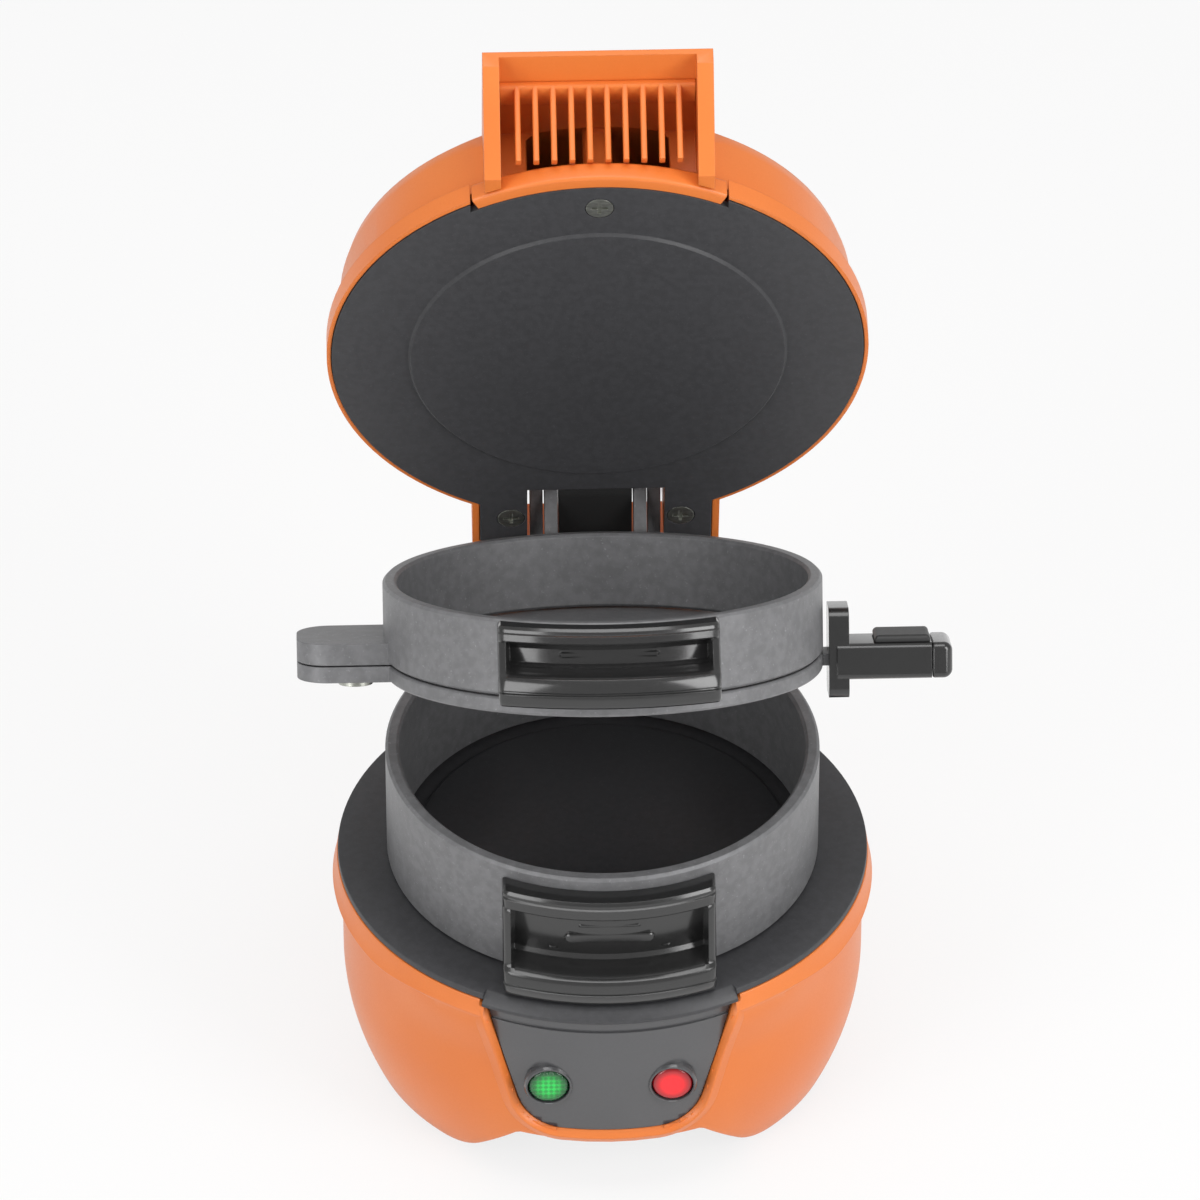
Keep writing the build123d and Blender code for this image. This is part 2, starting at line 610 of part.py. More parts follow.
def base_bottom_cover():
    """Plate that closes the housing above the arches, with rows of vent slots."""
    radius = housing_radius(COVER_Z) - WALL - COVER_GAP
    cover = disc(radius, COVER_Z, COVER_TOP_Z)
    # Room for the tower's floor at the back and for the panel's frame at the front.
    tower_half = TOWER_HALF_WIDTH + COVER_GAP
    cover -= block((-tower_half, tower_half), (TOWER_ROOT_Y - COVER_GAP, FAR), (0, FAR))
    frame_inside = panel_radius(COVER_Z) - PANEL_THICKNESS - FRAME_BACK - COVER_GAP
    frame_half = PANEL_BOTTOM_HALF + FRAME_WIDTH + 2 * OVER
    cover -= front_block(frame_half, 0) - disc(frame_inside, 0, FAR)
    for row in range(-COVER_SLOT_ROWS, COVER_SLOT_ROWS + 1):
        middle = row * COVER_SLOT_PITCH
        cover -= block(
            (-COVER_SLOT_REACH, COVER_SLOT_REACH), (middle - COVER_SLOT_HALF, middle + COVER_SLOT_HALF),
            (0, FAR),
        )
    for x, y in cover_screw_places():
        cover -= post(COVER_SHANK + FIT_GAP, x, y, 0, FAR)
    return [cover]


def bottom_cover_screws():
    length = COVER_THICKNESS + COVER_SHANK_LENGTH - OVER
    return [
        screw(COVER_HEAD, COVER_HEAD_HEIGHT, COVER_SHANK, length, x, y, COVER_Z)
        for x, y in cover_screw_places()
    ]


def rubber_feet():
    return [post(RUBBER_RADIUS, x, y, 0, SKIRT_Z + RUBBER_RECESS) for x, y in foot_places()]


def control_panel():
    """Curved plate with two lamp holes."""
    panel = panel_prism(0) & panel_shell(0, PANEL_THICKNESS, 0, FAR)
    panel &= disc(FAR, 0, PANEL_TOP_Z)
    for x in (-LAMP_X, LAMP_X):
        panel -= along(LENS_RADIUS + FIT_GAP, x, LAMP_Z, -PANEL_BACK_Y, -FAR)
    return [panel]


def lamp_lens(x):
    """Domed lens pushed through the panel from behind, hollow for its lamp."""
    back_radius = panel_radius(LAMP_Z) - PANEL_THICKNESS
    flange_radius = LENS_RADIUS + LENS_FLANGE
    flange_y = -sqrt(back_radius ** 2 - (LAMP_X + flange_radius) ** 2) + 0.5
    lens = along(LENS_RADIUS, x, LAMP_Z, LENS_FRONT_Y, flange_y)
    front = lens.edges().group_by(Axis.Y)[0]
    lens = fillet(front, LENS_EDGE)
    lens += along(flange_radius, x, LAMP_Z, flange_y, flange_y + LENS_FLANGE_THICKNESS)
    bore = LENS_RADIUS - LENS_WALL + LAMP_PLAY
    lens -= along(bore, x, LAMP_Z, LENS_FRONT_Y + LENS_WALL, -PANEL_BACK_Y)
    return [lens]


def indicator_lamps():
    radius = LENS_RADIUS - LENS_WALL
    return [along(radius, x, LAMP_Z, LAMP_FRONT_Y, LAMP_BACK_Y) for x in (-LAMP_X, LAMP_X)]


def heat_plate(face_z, outward, rim_radius, rim, core_height):
    """Cooking plate: rim, thicker core behind it, raised pad and a spigot for the heat shield.
    outward is +1 where the cooking face looks up and -1 where it looks down."""
    def at(depth):
        return face_z - outward * depth

    tip = core_height + SHIELD_DEPTH
    plate = turned([
        (0, at(-PAD_HEIGHT)), (PAD_RADIUS - PAD_CHAMFER, at(-PAD_HEIGHT)), (PAD_RADIUS, at(0)),
        (rim_radius, at(0)), (rim_radius, at(rim)), (PLATE_CORE_RADIUS, at(rim)),
        (PLATE_CORE_RADIUS - PLATE_CORE_DRAFT, at(core_height)), (PLATE_SPIGOT_RADIUS, at(core_height)),
        (PLATE_SPIGOT_RADIUS, at(tip)), (0, at(tip)),
    ])
    return plate - disc(SHIELD_SHANK + FIT_GAP, at(tip + 0.1), at(core_height + 0.5))


def base_cooking_plate():
    plate = heat_plate(DECK_Z, 1, DECK_RADIUS, DECK_RIM, DECK_THICKNESS)
    plate -= block((-FAR, FAR), (DECK_BACK_Y, FAR), (0, FAR))
    # The rim's front gives way to an apron that slopes down over the panel's top edge.
    front = front_block(APRON_HALF, -PANEL_BACK_Y)
    plate -= front - disc(APRON_CREST_RADIUS, 0, FAR)
    apron_low_z = DECK_Z - APRON_DROP
    apron = turned([
        (APRON_ROOT_RADIUS, DECK_Z), (APRON_CREST_RADIUS, DECK_Z),
        (APRON_RADIUS, apron_low_z + APRON_EDGE), (APRON_RADIUS, apron_low_z),
        (APRON_ROOT_RADIUS, apron_low_z),
    ])
    plate += apron & front
    for x, y in deck_screw_places():
        plate -= post(DECK_SHANK + FIT_GAP, x, y, SEAT_Z - OVER, SEAT_Z + DECK_SCREW_BITE + 0.2)
    return [plate]


def deck_screws():
    return [
        screw(DECK_HEAD, DECK_HEAD_HEIGHT, DECK_SHANK, FLANGE_THICKNESS + DECK_SCREW_BITE, x, y, FLANGE_Z)
        for x, y in deck_screw_places()
    ]


def element_ends(plate_back_z, outward):
    """(x, y, z) tips of the two terminals of a heating element."""
    start = 90 + (360 - ELEMENT_SWEEP) / 2
    tip_z = plate_back_z - outward * (ELEMENT_TUBE + FIT_GAP + TERMINAL_LENGTH)
    return [
        (ELEMENT_RADIUS * cos(radians(angle)), ELEMENT_RADIUS * sin(radians(angle)), tip_z)
        for angle in (start, start + ELEMENT_SWEEP)
    ]


def heating_element(plate_back_z, outward):
    """Tubular ring element with two ends turned away from the plate."""
    centre_z = plate_back_z - outward * (ELEMENT_TUBE + FIT_GAP)
    start = 90 + (360 - ELEMENT_SWEEP) / 2
    ring = Solid.make_torus(ELEMENT_RADIUS, ELEMENT_TUBE, Plane.XY, 0, 360, ELEMENT_SWEEP)
    ring = Pos(0, 0, centre_z) * Rot(0, 0, start) * ring
    for x, y, tip_z in element_ends(plate_back_z, outward):
        ring += post(TERMINAL_RADIUS, x, y, centre_z, tip_z)
        ring += Pos(x, y, centre_z) * Sphere(ELEMENT_TUBE)
    return [ring]


def heat_shield(plate_back_z, outward):
    """Shallow sheet dish behind the element, with holes for its terminals."""
    far = plate_back_z - outward * (SHIELD_DEPTH + SHIELD_SHEET)
    near = plate_back_z - outward * SHIELD_DEPTH
    lip = plate_back_z - outward * FIT_GAP
    dish = turned([
        (0, far), (SHIELD_RADIUS, far), (SHIELD_RADIUS, lip), (SHIELD_RADIUS - SHIELD_SHEET, lip),
        (SHIELD_RADIUS - SHIELD_SHEET, near), (0, near),
    ])
    above = near + outward * OVER
    below = far - outward * OVER
    for x, y, _ in element_ends(plate_back_z, outward):
        dish -= post(TERMINAL_RADIUS + OVER, x, y, above, below)
    return [dish - disc(SHIELD_SHANK + FIT_GAP, above, below)]


def shield_screw(plate_back_z, outward):
    """Screw that holds the heat shield to the plate's spigot."""
    seat = plate_back_z - outward * (SHIELD_DEPTH + SHIELD_SHEET)
    length = SHIELD_SHEET + 6.0
    return [screw(SHIELD_HEAD, SHIELD_HEAD_HEIGHT, SHIELD_SHANK, length, 0, 0, seat, up=outward)]


def thermostat():
    body_z = DECK_BACK_Z - THERMOSTAT_HEIGHT
    body = post(THERMOSTAT_RADIUS, THERMOSTAT_X, 0, body_z, DECK_BACK_Z - FIT_GAP)
    return [body + post(THERMOSTAT_STEM_RADIUS, THERMOSTAT_X, 0, body_z - THERMOSTAT_STEM, body_z)]


def thermal_fuse():
    z = DECK_BACK_Z - FUSE_RADIUS - FIT_GAP
    sleeve = across(FUSE_RADIUS, FUSE_X - FUSE_HALF, FUSE_X + FUSE_HALF, 0, z)
    return [sleeve + across(FUSE_LEG_RADIUS, FUSE_X - FUSE_LEG_HALF, FUSE_X + FUSE_LEG_HALF, 0, z)]


def terminal_block():
    """Screw terminal block standing on the bottom cover."""
    top = COVER_TOP_Z + BLOCK_HEIGHT
    body = block(
        (-BLOCK_HALF, BLOCK_HALF), (BLOCK_Y - BLOCK_DEPTH_HALF, BLOCK_Y + BLOCK_DEPTH_HALF),
        (COVER_TOP_Z, top),
    )
    for x in BLOCK_HOLE_XS:
        body -= post(BLOCK_HOLE, x, BLOCK_Y, COVER_TOP_Z + BLOCK_FLOOR, top + OVER)
    return [body]


def lead(route):
    """Insulated lead along straight runs joined by arcs."""
    path = FilletPolyline(*route, radius=LEAD_BEND)
    start = Plane(origin=path @ 0, z_dir=path % 0)
    return sweep(start * Circle(LEAD_RADIUS), path=path)


def base_wiring():
    """Leads from the terminal block to the element's ends and to the lamps."""
    block_top = COVER_TOP_Z + BLOCK_HEIGHT
    turn_z = block_top + 5.0
    leads = []
    for side, (x, y, z) in zip((-1, 1), element_ends(DECK_BACK_Z, 1)):
        start_x = side * MAINS_LEAD_X
        leads.append(lead([
            (start_x, BLOCK_Y, block_top), (start_x, BLOCK_Y, turn_z), (x, y, turn_z), (x, y, z),
        ]))
    for side in (-1, 1):
        lamp_x = side * LAMP_X
        end_x = side * LAMP_LEAD_X
        leads.append(lead([
            (lamp_x, LAMP_BACK_Y, LAMP_Z), (lamp_x, LAMP_BACK_Y + 12.0, LAMP_Z),
            (end_x, BLOCK_Y, LAMP_Z), (end_x, BLOCK_Y, block_top),
        ]))
    return leads


def cord_grommet():
    """Bush that lines the cord's way through the back of the tower."""
    end_y = TOWER_BACK_Y + GROMMET_OUT
    bush = along(GROMMET_NECK, 0, GROMMET_Z, end_y - GROMMET_LENGTH, end_y)
    bush += along(GROMMET_COLLAR, 0, GROMMET_Z, TOWER_BACK_Y, end_y)
    bush += along(GROMMET_LIP, 0, GROMMET_Z, TOWER_BACK_Y - WALL - 2.0, TOWER_BACK_Y - WALL)
    return [bush - along(GROMMET_BORE, 0, GROMMET_Z, 0, FAR)]


# ================================================================ hinge
def hinge_post():
    """Dark post that stands in the tower and carries the pin in a round knuckle."""
    body = side_plate(
        [
            (POST_FRONT_Y, POST_FOOT_Z), (POST_BACK_Y, POST_FOOT_Z), (POST_BACK_Y, PIN_Z - 8.0),
            (PIN_Y, PIN_Z), (PIN_Y - POST_EYE_RADIUS, PIN_Z), (PIN_Y - 4.0, POST_SHELF_Z + 5.7),
            (POST_FRONT_Y - WALL, POST_SHELF_Z), (POST_FRONT_Y, POST_SHELF_Z),
        ],
        -POST_HALF_WIDTH, POST_HALF_WIDTH,
    )
    knuckle = on_pin(KNUCKLE_RADIUS, -POST_HALF_WIDTH, POST_HALF_WIDTH)
    body += knuckle & block((-FAR, FAR), (PIN_Y, FAR), (0, FAR))
    body += on_pin(POST_EYE_RADIUS, -POST_HALF_WIDTH, POST_HALF_WIDTH)
    body -= on_pin(PIN_RADIUS + PIN_PRESS, -FAR, FAR)
    for z in POST_SCREW_ZS:
        body -= along(POST_SHANK + FIT_GAP, 0, z, POST_BACK_Y - 5.0, POST_BACK_Y + OVER)
    return [body]


def hinge_post_screws():
    upright = screw(POST_SCREW_HEAD, POST_HEAD_HEIGHT, POST_SHANK, POST_SHANK_LENGTH, 0, 0, 0)
    return [Pos(0, TOWER_BACK_Y - POST_HEAD_SINK, z) * Rot(90, 0, 0) * upright for z in POST_SCREW_ZS]


def hinge_pin():
    """Steel pin with a groove near each end for its clip."""
    pin = on_pin(PIN_RADIUS, -PIN_HALF_LENGTH, PIN_HALF_LENGTH)
    for side in (-1, 1):
        start = side * CLIP_X
        end = side * (CLIP_X + CLIP_THICKNESS + 2 * CLIP_PLAY)
        pin -= on_pin(PIN_RADIUS + OVER, start, end) - on_pin(PIN_RADIUS - CLIP_GROOVE, start, end)
    return [pin]


def hinge_pin_clips():
    """Open retaining rings that snap into the pin's grooves."""
    mouth = block(
        (-FAR, FAR), (PIN_Y - CLIP_MOUTH_HALF, PIN_Y + CLIP_MOUTH_HALF), (0, PIN_Z),
    )
    clips = []
    for side in (-1, 1):
        start = side * (CLIP_X + CLIP_PLAY)
        ring = on_pin(PIN_RADIUS + CLIP_OUT, start, start + side * CLIP_THICKNESS)
        ring -= on_pin(PIN_RADIUS - CLIP_GROOVE + FIT_GAP, -FAR, FAR)
        clips.append(ring - mouth)
    return clips


def arm_pair(inner_x, foot_z, foot_top_z):
    """Two flat arms: a foot on the ring's back wall and an upright up to an eye on the pin."""
    arms = []
    out_y = RING_RADIUS + ARM_OUT
    eye_half = ARM_EYE_RADIUS * 0.98
    for side in (-1, 1):
        x_range = (side * inner_x, side * (inner_x + ARM_THICKNESS))
        arm = block(x_range, (RING_RADIUS - ARM_FOOT_INSET, out_y), (foot_z, foot_top_z))
        arm += side_plate(
            [
                (out_y - ARM_SLIM, foot_z + 2.0), (out_y, foot_z), (out_y + 1.0, TOWER_TOP_Z + 2.0),
                (PIN_Y + eye_half, PIN_Z), (PIN_Y - eye_half, PIN_Z),
            ],
            *x_range,
        )
        arms.append(arm + on_pin(ARM_EYE_RADIUS, *x_range))
    return arms


# ================================================================ rings
def ring_with_arms(bottom, height, arms):
    """Cast ring with its rim edges broken, hinge arms and the tab for its grip."""
    inner = RING_RADIUS - RING_WALL
    top = bottom + height
    ring = turned([
        (inner + RING_EDGE, bottom), (RING_RADIUS - RING_EDGE, bottom), (RING_RADIUS, bottom + RING_EDGE),
        (RING_RADIUS, top - RING_EDGE), (RING_RADIUS - RING_EDGE, top), (inner + RING_EDGE, top),
        (inner, top - RING_EDGE), (inner, bottom + RING_EDGE),
    ])
    well = disc(inner + OVER, 0, FAR)
    for arm in arms:
        ring += arm - well
    ring -= on_pin(PIN_RADIUS + FIT_GAP, -FAR, FAR)
    return ring + (grip_tab(bottom, 0) - well)


def grip_tab(bottom, growth):
    """Flat tab on the ring's front that the grip slides over; growth makes its pocket."""
    low = bottom + GRIP_TAB_RISE - growth
    high = low + GRIP_TAB_THICKNESS + 2 * growth
    tab = disc(RING_RADIUS + GRIP_TAB_OUT + growth, low, high)
    tab &= front_block(GRIP_TAB_HALF + growth, -RING_RADIUS / 2)
    if not growth:
        for x, y in grip_screw_places():
            tab -= post(GRIP_SHANK + FIT_GAP, x, y, low - OVER, high + OVER)
    return tab


def grip_screw_places():
    y = -sqrt((RING_RADIUS + GRIP_SCREW_OUT) ** 2 - GRIP_SCREW_X ** 2)
    return [(-GRIP_SCREW_X, y), (GRIP_SCREW_X, y)]


def ring_grip(ring_bottom, lift, height, half, top_lip):
    """Moulded grip: deep lower lip, shallow upper lip and a hollow for the fingers between.
    lift is how far the grip's lower edge stands above the ring's."""
    bottom = ring_bottom + lift
    top = bottom + height
    ledge = bottom + LOWER_LIP_HEIGHT
    back = RING_RADIUS + GRIP_BACK_GAP
    skin = RING_RADIUS + GRIP_SKIN
    low_lip = RING_RADIUS + LOWER_LIP_OUT
    high_lip = RING_RADIUS + UPPER_LIP_OUT
    grip = turned([
        (back, bottom), (low_lip - GRIP_EDGE, bottom), (low_lip, bottom + GRIP_EDGE),
        (low_lip, ledge - GRIP_EDGE), (low_lip - GRIP_EDGE, ledge), (skin, ledge),
        (skin, top - top_lip - GRIP_UNDERCUT), (high_lip, top - top_lip),
        (high_lip, top - GRIP_EDGE), (high_lip - GRIP_EDGE, top), (back, top),
    ])
    cheeks = turned([
        (skin - OVER, ledge - GRIP_EDGE), (low_lip - GRIP_EDGE, ledge - GRIP_EDGE),
        (low_lip - GRIP_EDGE, ledge), (high_lip, top - top_lip), (skin - OVER, top - top_lip),
    ])
    grip += cheeks - front_block(half - GRIP_CHEEK, -RING_RADIUS / 2)
    grip &= front_block(half, -RING_RADIUS / 2)
    grip -= grip_tab(ring_bottom, SEAT_GAP)
    for x, y in grip_screw_places():
        grip -= post(GRIP_SHANK + FIT_GAP, x, y, bottom - OVER, ledge - GRIP_HOLE_ROOF)
        grip -= post(GRIP_HEAD + GRIP_HEAD_ROOM, x, y, bottom - OVER, bottom + GRIP_HEAD_SINK)
    return [grip]


def grip_screws(bottom):
    length = LOWER_LIP_HEIGHT - GRIP_HEAD_SINK - GRIP_HOLE_ROOF - 0.2
    seat = bottom + GRIP_HEAD_SINK
    return [
        screw(GRIP_HEAD, GRIP_HEAD_HEIGHT, GRIP_SHANK, length, x, y, seat)
        for x, y in grip_screw_places()
    ]


def lower_ring():
    arms = arm_pair(LOWER_ARM_X, LOWER_RING_Z + 14.0, LOWER_RING_Z + 27.0)
    return [ring_with_arms(LOWER_RING_Z, LOWER_RING_HEIGHT, arms)]


def lug_outline():
    """Plan of the pivot lug: a broad tongue with rounded corners."""
    inner_x = -RING_RADIUS + LUG_INSET
    tongue = Pos((LUG_TIP_X + inner_x) / 2, 0) * Rectangle(inner_x - LUG_TIP_X, 2 * LUG_HALF)
    tips = [vertex for vertex in tongue.vertices() if vertex.X < PIVOT_X]
    return fillet(tips, LUG_CORNER)


def upper_ring():
    arms = arm_pair(UPPER_ARM_X, UPPER_RING_Z + 3.0, UPPER_RING_Z + 12.0)
    ring = ring_with_arms(UPPER_RING_Z, UPPER_RING_HEIGHT, arms)
    lug_top = UPPER_RING_Z + LUG_THICKNESS
    lug = sheet_plate(lug_outline(), UPPER_RING_Z, lug_top)
    ring += lug - disc(RING_RADIUS - RING_WALL + OVER, 0, FAR)
    ring -= post(PIVOT_RADIUS + FIT_GAP, PIVOT_X, 0, UPPER_RING_Z - OVER, lug_top - PIVOT_ROOF)
    return [ring]


# ================================================================ egg plate
def egg_plate():
    """Flat plate under the upper ring, with its pivot lug and the tang of its handle."""
    top = EGG_PLATE_TOP_Z
    plate = turned([
        (0, EGG_PLATE_Z), (EGG_PLATE_RADIUS - EGG_PLATE_EDGE, EGG_PLATE_Z),
        (EGG_PLATE_RADIUS, EGG_PLATE_Z + EGG_PLATE_EDGE), (EGG_PLATE_RADIUS, top - EGG_PLATE_EDGE),
        (EGG_PLATE_RADIUS - EGG_PLATE_EDGE, top), (0, top),
    ])
    plate += sheet_plate(lug_outline(), EGG_PLATE_Z, top)
    plate += block(
        (EGG_PLATE_RADIUS - TANG_ROOT, TANG_END_X), (-TANG_HALF, TANG_HALF),
        (TANG_Z, TANG_Z + TANG_THICKNESS),
    )
    plate -= post(PIVOT_RADIUS + FIT_GAP, PIVOT_X, 0, 0, FAR)
    plate -= post(GRIP_SHANK + FIT_GAP, HANDLE_SCREW_X, 0, 0, FAR)
    return [plate]


def plate_pivot_screw():
    """Shoulder screw up through both lugs, its head under the washer."""
    seat = EGG_PLATE_Z - WASHER_THICKNESS - 2 * FIT_GAP
    length = UPPER_RING_Z + LUG_THICKNESS - PIVOT_ROOF - 0.2 - seat
    return [screw(PIVOT_HEAD, PIVOT_HEAD_HEIGHT, PIVOT_RADIUS, length, PIVOT_X, 0, seat)]


def pivot_washer():
    high = EGG_PLATE_Z - FIT_GAP
    ring = post(WASHER_RADIUS, PIVOT_X, 0, high - WASHER_THICKNESS, high)
    return [ring - post(PIVOT_RADIUS + WASHER_HOLE_PLAY, PIVOT_X, 0, 0, FAR)]


def plate_handle_body():
    """Finger guard and grip, with a pocket for the tang."""
    guard = block(
        (GUARD_X, GUARD_X + GUARD_THICKNESS), (-GUARD_HALF, GUARD_HALF),
        (EGG_PLATE_Z - GUARD_DOWN, EGG_PLATE_Z + GUARD_UP),
    )
    guard = fillet(guard.edges().filter_by(Axis.X), GUARD_CORNER)
    grip = block(
        (GUARD_X + GUARD_OVERLAP, HANDLE_END_X - HANDLE_CAP_LENGTH), (-HANDLE_HALF, HANDLE_HALF),
        (HANDLE_BOTTOM_Z, HANDLE_TOP_Z),
    )
    grip = fillet(grip.edges().filter_by(Axis.X), HANDLE_CORNER)
    body = guard + grip
    pocket_half = TANG_HALF + SEAT_GAP
    body -= block(
        (GUARD_X - OVER, TANG_END_X + SEAT_GAP), (-pocket_half, pocket_half),
        (TANG_Z - SEAT_GAP, TANG_Z + TANG_THICKNESS + SEAT_GAP),
    )
    body -= post(GRIP_SHANK + FIT_GAP, HANDLE_SCREW_X, 0, 0, HANDLE_TOP_Z - 1.0)
    body -= post(GRIP_HEAD + GRIP_HEAD_ROOM, HANDLE_SCREW_X, 0, 0, HANDLE_BOTTOM_Z + HANDLE_SCREW_SINK)
    return [body]


def plate_handle_cap():
    """Rounded end piece of the handle."""
    start = HANDLE_END_X - HANDLE_CAP_LENGTH + HANDLE_SEAM
    cap = block((start, HANDLE_END_X), (-HANDLE_HALF, HANDLE_HALF), (HANDLE_BOTTOM_Z, HANDLE_TOP_Z))
    cap = fillet(cap.edges().filter_by(Axis.X), HANDLE_CORNER)
    return [fillet(cap.faces().sort_by(Axis.X)[-1].edges(), HANDLE_NOSE)]


def plate_thumb_pad():
    """Raised pad on the top of the handle."""
    half = HANDLE_HALF - THUMB_PAD_MARGIN
    end = HANDLE_END_X - HANDLE_CAP_LENGTH - THUMB_PAD_END_GAP
    pad = block(
        (THUMB_PAD_START_X, end), (-half, half), (HANDLE_TOP_Z, HANDLE_TOP_Z + THUMB_PAD_HEIGHT),
    )
    return [chamfer(pad.faces().sort_by(Axis.Z)[-1].edges(), THUMB_PAD_EDGE)]


def plate_handle_screw():
    seat = HANDLE_BOTTOM_Z + HANDLE_SCREW_SINK
    return [screw(GRIP_HEAD, GRIP_HEAD_HEIGHT, GRIP_SHANK, HANDLE_SCREW_LENGTH, HANDLE_SCREW_X, 0, seat)]


# ================================================================ lid
def lid_at(z):
    """Height of a level of the lid above the table, from its level above the cooking face."""
    return LID_Z + z


def lid_profile(inset, bottom):
    """(radius, height) corners of the lid's dome, moved inwards by inset."""
    top = LID_HEIGHT - inset
    wall = LID_WALL_RADIUS - inset
    return [
        (wall, lid_at(bottom)), (wall, lid_at(LID_SHOULDER_Z)), (wall - 1.2, lid_at(LID_SHOULDER_Z + 4.0)),
        (wall - 4.5, lid_at(top - 3.2)), (wall - 11.0, lid_at(top - 1.0)), (wall - 25.0, lid_at(top)),
        (0, lid_at(top)), (0, lid_at(bottom)),
    ]


def neck_block(inset, bottom):
    """Neck at the back of the lid that holds the hinge fork."""
    half = NECK_HALF_WIDTH - inset
    back = NECK_BACK_Y - inset
    top = NECK_TOP_Z - inset
    return side_plate(
        [
            (NECK_FRONT_Y, lid_at(bottom)), (back, lid_at(bottom)), (back, lid_at(top - 6.0)),
            (back - 4.0, lid_at(top - 1.4)), (back - 10.0, lid_at(top)), (NECK_FRONT_Y, lid_at(top)),
        ],
        -half, half,
    )


def hood_block():
    """Hood that juts out over the finger space at the front."""
    low = lid_at(LID_RIM_LIFT)
    return side_plate(
        [
            (HOOD_CREST_Y + 5.0, low), (-LID_RADIUS, low), (HOOD_FRONT_Y, lid_at(HOOD_LIP_Z)),
            (HOOD_FRONT_Y - 0.3, lid_at(HOOD_LIP_TOP_Z - 2.0)),
            (HOOD_FRONT_Y + 2.0, lid_at(HOOD_LIP_TOP_Z)),
            (HOOD_CREST_Y, lid_at(LID_HEIGHT - 1.6)), (HOOD_BACK_Y, lid_at(LID_HEIGHT - 0.6)),
            (HOOD_BACK_Y, low),
        ],
        -HOOD_HALF, HOOD_HALF,
    )


def ring_band(inner, outer, bottom, top):
    """Ring of square section, between two levels of the lid."""
    return turned([
        (inner, lid_at(bottom)), (outer, lid_at(bottom)), (outer, lid_at(top)), (inner, lid_at(top)),
    ])


def lid_screw_places():
    """(x, y, shank length) of the three screws that hold the upper plate."""
    return [
        (0, LID_SCREW_FRONT_Y, LID_SCREW_FRONT_LENGTH),
        (-LID_SCREW_BACK_X, LID_SCREW_BACK_Y, LID_SCREW_BACK_LENGTH),
        (LID_SCREW_BACK_X, LID_SCREW_BACK_Y, LID_SCREW_BACK_LENGTH),
    ]


def lid_hollow(outer):
    """Inside of the lid, less the walls round the hinge, the pin's tubes and the screw bosses."""
    fork_outer = FORK_X + FORK_WALL
    inner = turned(lid_profile(WALL, -OVER)) + neck_block(FORK_WALL, -OVER)
    barrel = on_pin(SLOT_RADIUS + BARREL_WALL, -fork_outer, fork_outer)
    barrel += block(
        (-fork_outer, fork_outer), (PIN_Y - SLOT_RADIUS - BARREL_WALL, PIN_Y),
        (lid_at(LID_PLATE_THICKNESS), PIN_Z),
    )
    hollow = inner - (barrel & outer)
    for side in (-1, 1):
        hollow -= block(
            (side * FORK_X, side * fork_outer), (PIN_Y - 2 * WALL, NECK_BACK_Y + OVER),
            (lid_at(LID_RIM_LIFT), lid_at(NECK_TOP_Z)),
        )
        hollow -= on_pin(KNUCKLE_TUBE_RADIUS, side * FORK_X, side * (FORK_X + KNUCKLE_TUBE_LENGTH))
    for x, y, length in lid_screw_places():
        boss_top = LID_HEIGHT if y < 0 else length - LID_SCREW_TIP
        hollow -= post(LID_BOSS_RADIUS, x, y, lid_at(LID_PLATE_THICKNESS), lid_at(boss_top))
    return hollow


def hinge_slot():
    """Space of the knuckle between the fork's cheeks, open below and at the back."""
    slot = on_pin(SLOT_RADIUS, -FORK_X, FORK_X)
    slot += block((-FORK_X, FORK_X), (SLOT_FRONT_Y, FAR), (0, PIN_Z))
    return slot + block((-FORK_X, FORK_X), (SLOT_OPEN_Y, FAR), (0, FAR))


def lid_housing():
    outer = turned(lid_profile(0, LID_RIM_LIFT)) + neck_block(0, LID_RIM_LIFT) + hood_block()
    outer += disc(LID_RADIUS, lid_at(LID_RIM_LIFT), lid_at(LID_RIM_HEIGHT))
    shell = outer - lid_hollow(outer)
    # Seat of the cooking plate and of its tongues under the neck.
    shell -= disc(LID_PLATE_RADIUS + LID_PLATE_PLAY, lid_at(-OVER), lid_at(LID_PLATE_THICKNESS))
    tongue_half = NECK_HALF_WIDTH - FORK_WALL + LID_PLATE_PLAY
    shell -= block(
        (-tongue_half, tongue_half), (NECK_FRONT_Y, NECK_BACK_Y - FORK_WALL + LID_PLATE_PLAY),
        (lid_at(-OVER), lid_at(LID_PLATE_THICKNESS)),
    )
    shell -= hinge_slot()
    pin_reach = NECK_HALF_WIDTH - FORK_WALL
    shell -= on_pin(PIN_RADIUS + FIT_GAP, -pin_reach, pin_reach)
    # Finger space under the hood and the window that the grille fills.
    inside = HOOD_HALF - HOOD_CHEEK
    shell -= block((-inside, inside), (-FAR, HOOD_CREST_Y + 2.0), (0, lid_at(HOOD_CEILING_Z)))
    sill_room = ring_band(SILL_INNER_RADIUS - 0.2, LID_RADIUS + OVER, -OVER, LID_RIM_HEIGHT + 0.2)
    shell -= sill_room & front_block(NOTCH_HALF + 0.2, 0)
    for x, y, length in lid_screw_places():
        shell -= post(LID_SHANK + FIT_GAP, x, y, lid_at(0), lid_at(length + ROOM_GAP))
    return [shell]


